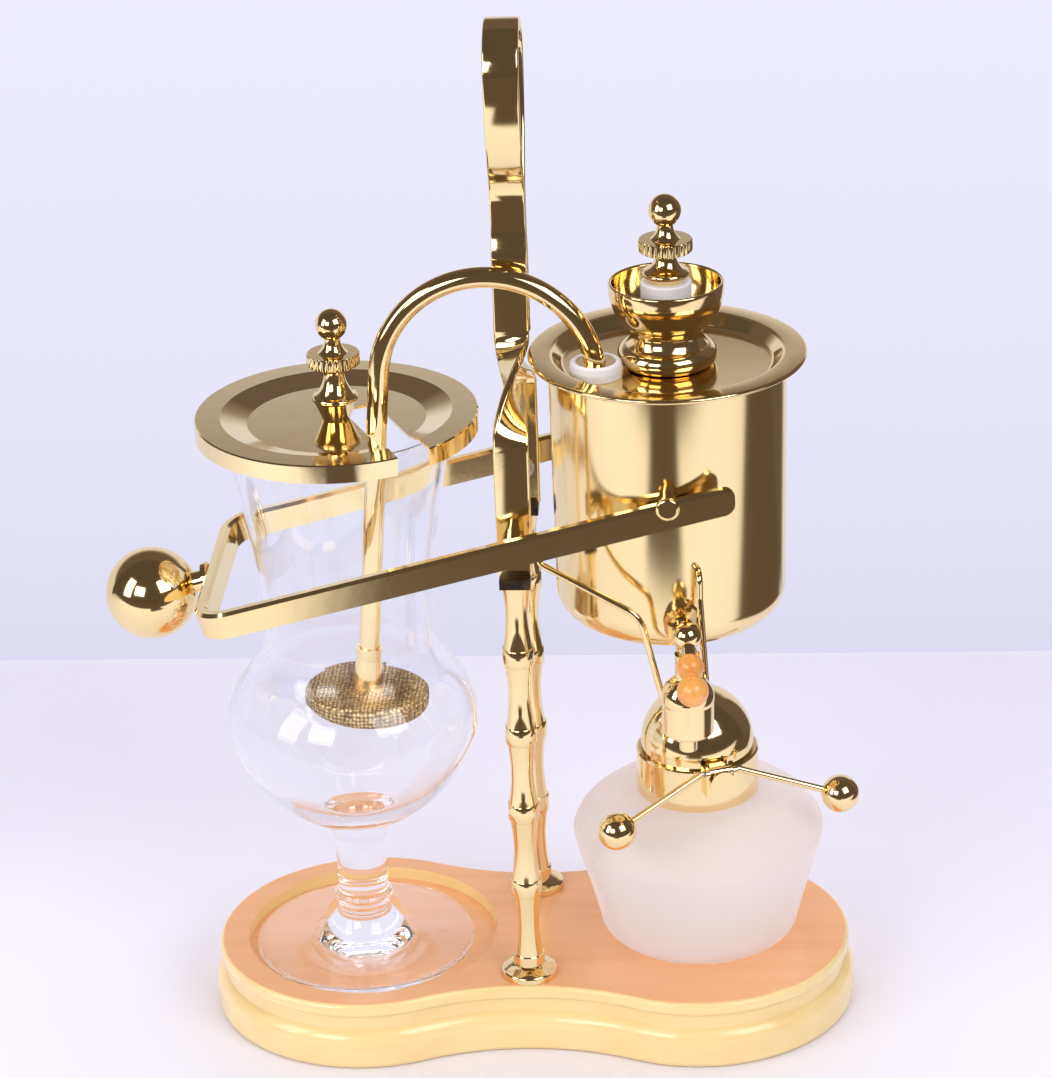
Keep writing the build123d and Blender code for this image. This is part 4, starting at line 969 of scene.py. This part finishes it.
# Glass lid
# A pressed gold lid with a turned-down skirt and a shallow dish, slotted for the tube. Its knob is turned
# like the filler plug's.
lid_gold_colour = (0.96, 0.79, 0.47)
knob_sink = 3.0
lid_gold = polished_gold("lid_gold", dull=0.06, worn=0.12, mark_scale=600, colour=lid_gold_colour)
dress("goblet_lid", lid_gold)
knob_foot = extent("goblet_lid")[1][2] - knob_sink
milled_knob(
    "lid_knob", "glass_lid", glass_x, knob_foot,
    foot_reach=5.0, ring_rise=10.0, disc_rise=22.0, ball_rise=15.6, ball_radius=6.0,
)

# Burner
# A spirit burner: frosted glass jar with a gold collar, wick tube and cotton wick. A hinged dome snuffs the
# flame, and two rods with balls are fixed to its hinge pin.
# Points are (radius, height), and the jar's heights are measured up from its foot.
jar_foot = [(0, 0), (30.0, 0), (35.5, 0.9), (38.3, 3.4), (39.4, 7.5)]
jar_wall = [(42.6, 20.0), (46.3, 33.0), (48.7, 42.0), (48.6, 45.2)]
jar_shoulder = [(46.2, 49.6), (40.0, 55.2), (31.0, 59.6), (25.0, 60.9), (22.4, 61.6)]
jar_mouth = 22.0
jar_mouth_low = 64.0
jar_bore = 19.5
jar_bore_low = 60.5
inner_shoulder = [(23.5, 58.4), (31.0, 56.6), (39.0, 52.4), (45.0, 46.4)]
inner_wall = [(46.0, 42.0), (43.6, 32.0), (40.0, 20.0), (36.8, 8.0)]
inner_floor = [(34.0, 3.6), (28.0, 2.6), (0, 2.5)]
frost_white = (0.98, 0.96, 0.95)
frost_grey = (0.95, 0.92, 0.91)
cotton_pale = (0.86, 0.82, 0.74)
cotton_deep = (0.62, 0.56, 0.46)


def frosted_glass_finish():
    """Acid-frosted glass: white and translucent, faintly clouded, with a fine matt grain."""
    material, tree, shader = new_material("frosted_glass")
    cloud = noise(tree, scale=22)
    white = ramp(tree, cloud, [(0.3, frost_grey), (0.7, frost_white)])
    fill(tree, shader, {
        "Base Color": white,
        "Roughness": spread(tree, cloud, low=0.42, high=0.55),
        "Transmission Weight": 0.5,
        "IOR": 1.25,
        "Normal": bump(tree, noise(tree, scale=2500, detail=2.0), height=0.00002),
    })
    glow = make_node(tree, "ShaderNodeBsdfTranslucent", {"Color": white}).outputs["BSDF"]
    pass_light(tree, mix_shaders(tree, 0.4, shader.outputs["BSDF"], glow), share=0.7)
    return material


def cotton_finish():
    """Cotton cord, off-white with lengthwise strands."""
    material, tree, shader = new_material("wick_cotton")
    strand = noise(tree, scale=900, stretch=(1, 1, 0.1))
    fill(tree, shader, {
        "Base Color": ramp(tree, strand, [(0.3, cotton_deep), (0.7, cotton_pale)]),
        "Roughness": spread(tree, strand, low=0.75, high=0.95),
        "Normal": bump(tree, strand, height=0.0003),
    })
    return material


jar_low, jar_high = extent("burner_jar")
jar_x, jar_y = ((jar_low + jar_high) / 2)[:2]
jar_height = jar_high[2] - jar_low[2]
jar_outside = [*jar_foot, *jar_wall, *jar_shoulder, (jar_mouth, jar_mouth_low), (jar_mouth, jar_height)]
jar_inside = [(jar_bore, jar_height), (jar_bore, jar_bore_low), *inner_shoulder, *inner_wall, *inner_floor]
jar = np.vstack([smooth(jar_outside, steps=8), smooth(jar_inside, steps=8)]) + (0, jar_low[2])
turned("burner_jar", jar, "burner", frosted_glass_finish(), jar_x, jar_y, sharp=60)
dress("wick", cotton_finish())
burner_metal = ("burner_collar", "wick_tube", "hinge_bracket")
snuffer_metal = ("snuffer_cap", "snuffer_leaf", "snuffer_rods", "snuffer_balls")
for node in burner_metal + snuffer_metal:
    dress(node, gold)

# Floor and backdrop
# Plain pale paper: a floor that ends behind the maker, greyed towards the rear by painted shade, and a
# lavender wall further back that is seen from its front only, darker low down by painted shade. Polished
# metal sees parts of both as a dim room.
sheet_reach = 4.0
floor_back = 0.306
paper_pale_front = -0.32
# The rear and middle paper colours are painted shade, greying the floor towards the rear; the front colour is
# the paper's own.
paper_rear_painted_shade = (0.82, 0.79, 0.88)
paper_middle_painted_shade = (0.87, 0.84, 0.92)
paper_front = (0.95, 0.93, 0.97)
table_front = -0.60
table_right = 0.30
table_corner = -0.16
patch_front = -0.39
patch_left = -0.14
patch_right = 0.17
edge_blur = 0.04
room_shade = (0.12, 0.085, 0.065, 1.0)
wall_y = 1.2
wall_low = -1.6
wall_high = 3.0
wall_deep_low = -0.5
wall_pale_high = 0.1
wall_dim_low = 0.58
wall_dim_high = 1.0
wall_dim_side = 0.75
wall_dim_blur = 0.2
# Colours the camera sees on the wall: darker towards its foot by painted shade.
wall_seen_painted_shade = [(0.0, (0.70, 0.69, 0.86)), (0.45, (0.80, 0.79, 0.96)), (1.0, (0.86, 0.85, 1.0))]
wall_mirrored = [(0.0, (0.80, 0.78, 0.86)), (0.5, (0.32, 0.27, 0.25)), (1.0, (0.14, 0.10, 0.085))]


def object_place(tree):
    """The X, Y and Z outputs of the Object coordinates."""
    return split(tree, tree.nodes.new("ShaderNodeTexCoord").outputs["Object"])


def mirror_rays(tree):
    """1 for rays that a polished surface throws, and 0 for those that came through glass."""
    rays = tree.nodes.new("ShaderNodeLightPath").outputs
    outside = band(tree, rays["Transmission Depth"], start=1.0, end=0.0)
    return combine(tree, "MULTIPLY", rays["Is Glossy Ray"], outside)


def paper_finish():
    """Matt paper, greyed towards the rear by painted shade; metal sees it dim past the table's edges and in a
    patch in front.
    """
    material, tree, shader = new_material("floor_paper")
    here = object_place(tree)
    cloud = spread(tree, noise(tree, scale=3, detail=2.0), low=-0.05, high=0.05)
    # Painted shade: the paper's colour greys from front to rear.
    depth = combine(tree, "ADD", band(tree, here["Y"], floor_back, paper_pale_front), cloud)
    fill(tree, shader, {
        "Base Color": ramp(tree, depth, [(0.0, paper_rear_painted_shade), (0.45, paper_middle_painted_shade), (1.0, paper_front)]),
        "Roughness": 0.9,
        "Specular IOR Level": 0.1,
    })
    front = band(tree, here["Y"], table_front, table_front - edge_blur)
    right = band(tree, here["X"], table_right, table_right + edge_blur)
    rear = band(tree, here["Y"], table_corner, table_corner + edge_blur)
    patch = band(tree, here["Y"], patch_front, patch_front - edge_blur)
    for edge, inner in ((patch_left, patch_left + edge_blur), (patch_right, patch_right - edge_blur)):
        patch = combine(tree, "MULTIPLY", patch, band(tree, here["X"], edge, inner))
    dim = combine(tree, "MAXIMUM", front, combine(tree, "MULTIPLY", right, rear))
    dim = combine(tree, "MAXIMUM", dim, patch)
    mirrored = combine(tree, "MULTIPLY", dim, mirror_rays(tree))
    shade = make_node(tree, "ShaderNodeEmission", {"Color": room_shade}).outputs["Emission"]
    shown = mix_shaders(tree, mirrored, shader.outputs["BSDF"], shade)
    fill(tree, tree.nodes["Material Output"], {"Surface": shown})
    return material


def wall_finish():
    """Wall with its own pale glow, darker towards its foot by painted shade, clear from behind; metal sees it
    dim high up and at its right.
    """
    material, tree, shader = new_material("backdrop_wall")
    tree.nodes.remove(shader)
    here = object_place(tree)
    # Painted shade: the wall darkens towards its foot.
    seen = ramp(tree, band(tree, here["Z"], wall_deep_low, wall_pale_high), wall_seen_painted_shade)
    high = band(tree, here["Z"], wall_dim_low, wall_dim_high)
    right = band(tree, here["X"], wall_dim_side, wall_dim_side + wall_dim_blur)
    mirrored = ramp(tree, combine(tree, "MAXIMUM", high, right), wall_mirrored)
    colour = blend_colours(tree, mirror_rays(tree), seen, mirrored)
    glow = make_node(tree, "ShaderNodeEmission", {"Color": colour}).outputs["Emission"]
    clear = tree.nodes.new("ShaderNodeBsdfTransparent").outputs["BSDF"]
    behind = tree.nodes.new("ShaderNodeNewGeometry").outputs["Backfacing"]
    fill(tree, tree.nodes["Material Output"], {"Surface": mix_shaders(tree, behind, glow, clear)})
    return material


def flat_sheet(name, low, high, material):
    """One four-cornered sheet from its low left to its high right corner."""
    corners = [low, (high[0], *low[1:]), high, (low[0], *high[1:])]
    mesh = bpy.data.meshes.new(name)
    mesh.from_pydata(corners, [], [(0, 1, 2, 3)])
    mesh.materials.append(material)
    sheet = bpy.data.objects.new(name, mesh)
    bpy.context.scene.collection.objects.link(sheet)


flat_sheet("floor", (-sheet_reach, -sheet_reach, 0), (sheet_reach, floor_back, 0), paper_finish())
flat_sheet("wall", (-sheet_reach, wall_y, wall_low), (sheet_reach, wall_y, wall_high), wall_finish())

# Light
# Soft studio light: wide boxes at the front right and the front left, one overhead and a weaker one at the
# left, in a room that metal sees as dim and warm.
room_light = ((0.86, 0.86, 0.88), 0.42)
room_mirrored = ((0.10, 0.075, 0.06), 1.0)
room_seen = ((0.85, 0.84, 0.98), 1.0)


def softbox(name, place, target, width, height, power):
    """Rectangular lamp at a place, turned to face a target."""
    lamp = bpy.data.lights.new(name, "AREA")
    lamp.shape = "RECTANGLE"
    lamp.size = width
    lamp.size_y = height
    lamp.energy = power
    box = bpy.data.objects.new(name, lamp)
    box.location = place
    box.rotation_euler = (Vector(target) - Vector(place)).to_track_quat("-Z", "Y").to_euler()
    bpy.context.scene.collection.objects.link(box)
    return box


def room():
    """World: pale to the camera and through glass, dim and warm in reflections, plain white otherwise."""
    world = bpy.data.worlds.new("room")
    world.use_nodes = True
    bpy.context.scene.world = world
    tree = world.node_tree
    rays = tree.nodes.new("ShaderNodeLightPath").outputs
    shades = []
    for colour, strength in (room_light, room_mirrored, room_seen):
        sockets = {"Color": (*colour, 1.0), "Strength": strength}
        shades.append(make_node(tree, "ShaderNodeBackground", sockets).outputs["Background"])
    light, mirrored, seen = shades
    unseen = mix_shaders(tree, rays["Is Glossy Ray"], light, mirrored)
    looked_at = combine(tree, "MAXIMUM", rays["Is Camera Ray"], rays["Is Transmission Ray"])
    fill(tree, tree.nodes["World Output"], {"Surface": mix_shaders(tree, looked_at, unseen, seen)})


room()
softbox("key_box", place=(0.95, -1.0, 1.2), target=(0, 0, 0.2), width=0.9, height=0.9, power=10.0)
top_box = softbox("top_box", place=(0.0, 0.15, 1.7), target=(0, 0, 0.1), width=1.2, height=1.0, power=8.0)
top_box.visible_glossy = False
softbox("left_box", place=(-1.2, -0.7, 0.8), target=(-0.05, 0, 0.2), width=0.5, height=1.0, power=5.0)
softbox("front_box", place=(-0.85, -1.6, 1.0), target=(0, 0, 0.1), width=0.8, height=0.7, power=9.0)

# Camera
# A long lens where the photograph was taken from: a little to the right, looking down and slightly rolled.
camera_place = (0.0759, -1.2338, 0.7418)
camera_side = radians(3.41)
camera_pitch = radians(23.81)
camera_roll = radians(2.01)
camera_lens = 119.1
camera_sensor = 36.0
flat_reach = cos(camera_pitch)
forward = Vector((-sin(camera_side) * flat_reach, cos(camera_side) * flat_reach, -sin(camera_pitch)))
level_side = forward.cross(Vector((0, 0, 1))).normalized()
level_up = level_side.cross(forward)
rolled_side = level_side * cos(camera_roll) - level_up * sin(camera_roll)
rolled_up = level_side * sin(camera_roll) + level_up * cos(camera_roll)
view = bpy.data.cameras.new("camera")
view.lens = camera_lens
view.sensor_width = camera_sensor
camera = bpy.data.objects.new("camera", view)
camera_turn = Matrix((rolled_side, rolled_up, -forward)).transposed().to_4x4()
camera.matrix_world = Matrix.Translation(camera_place) @ camera_turn
bpy.context.scene.collection.objects.link(camera)
bpy.context.scene.camera = camera
bpy.context.scene.view_settings.view_transform = "Standard"
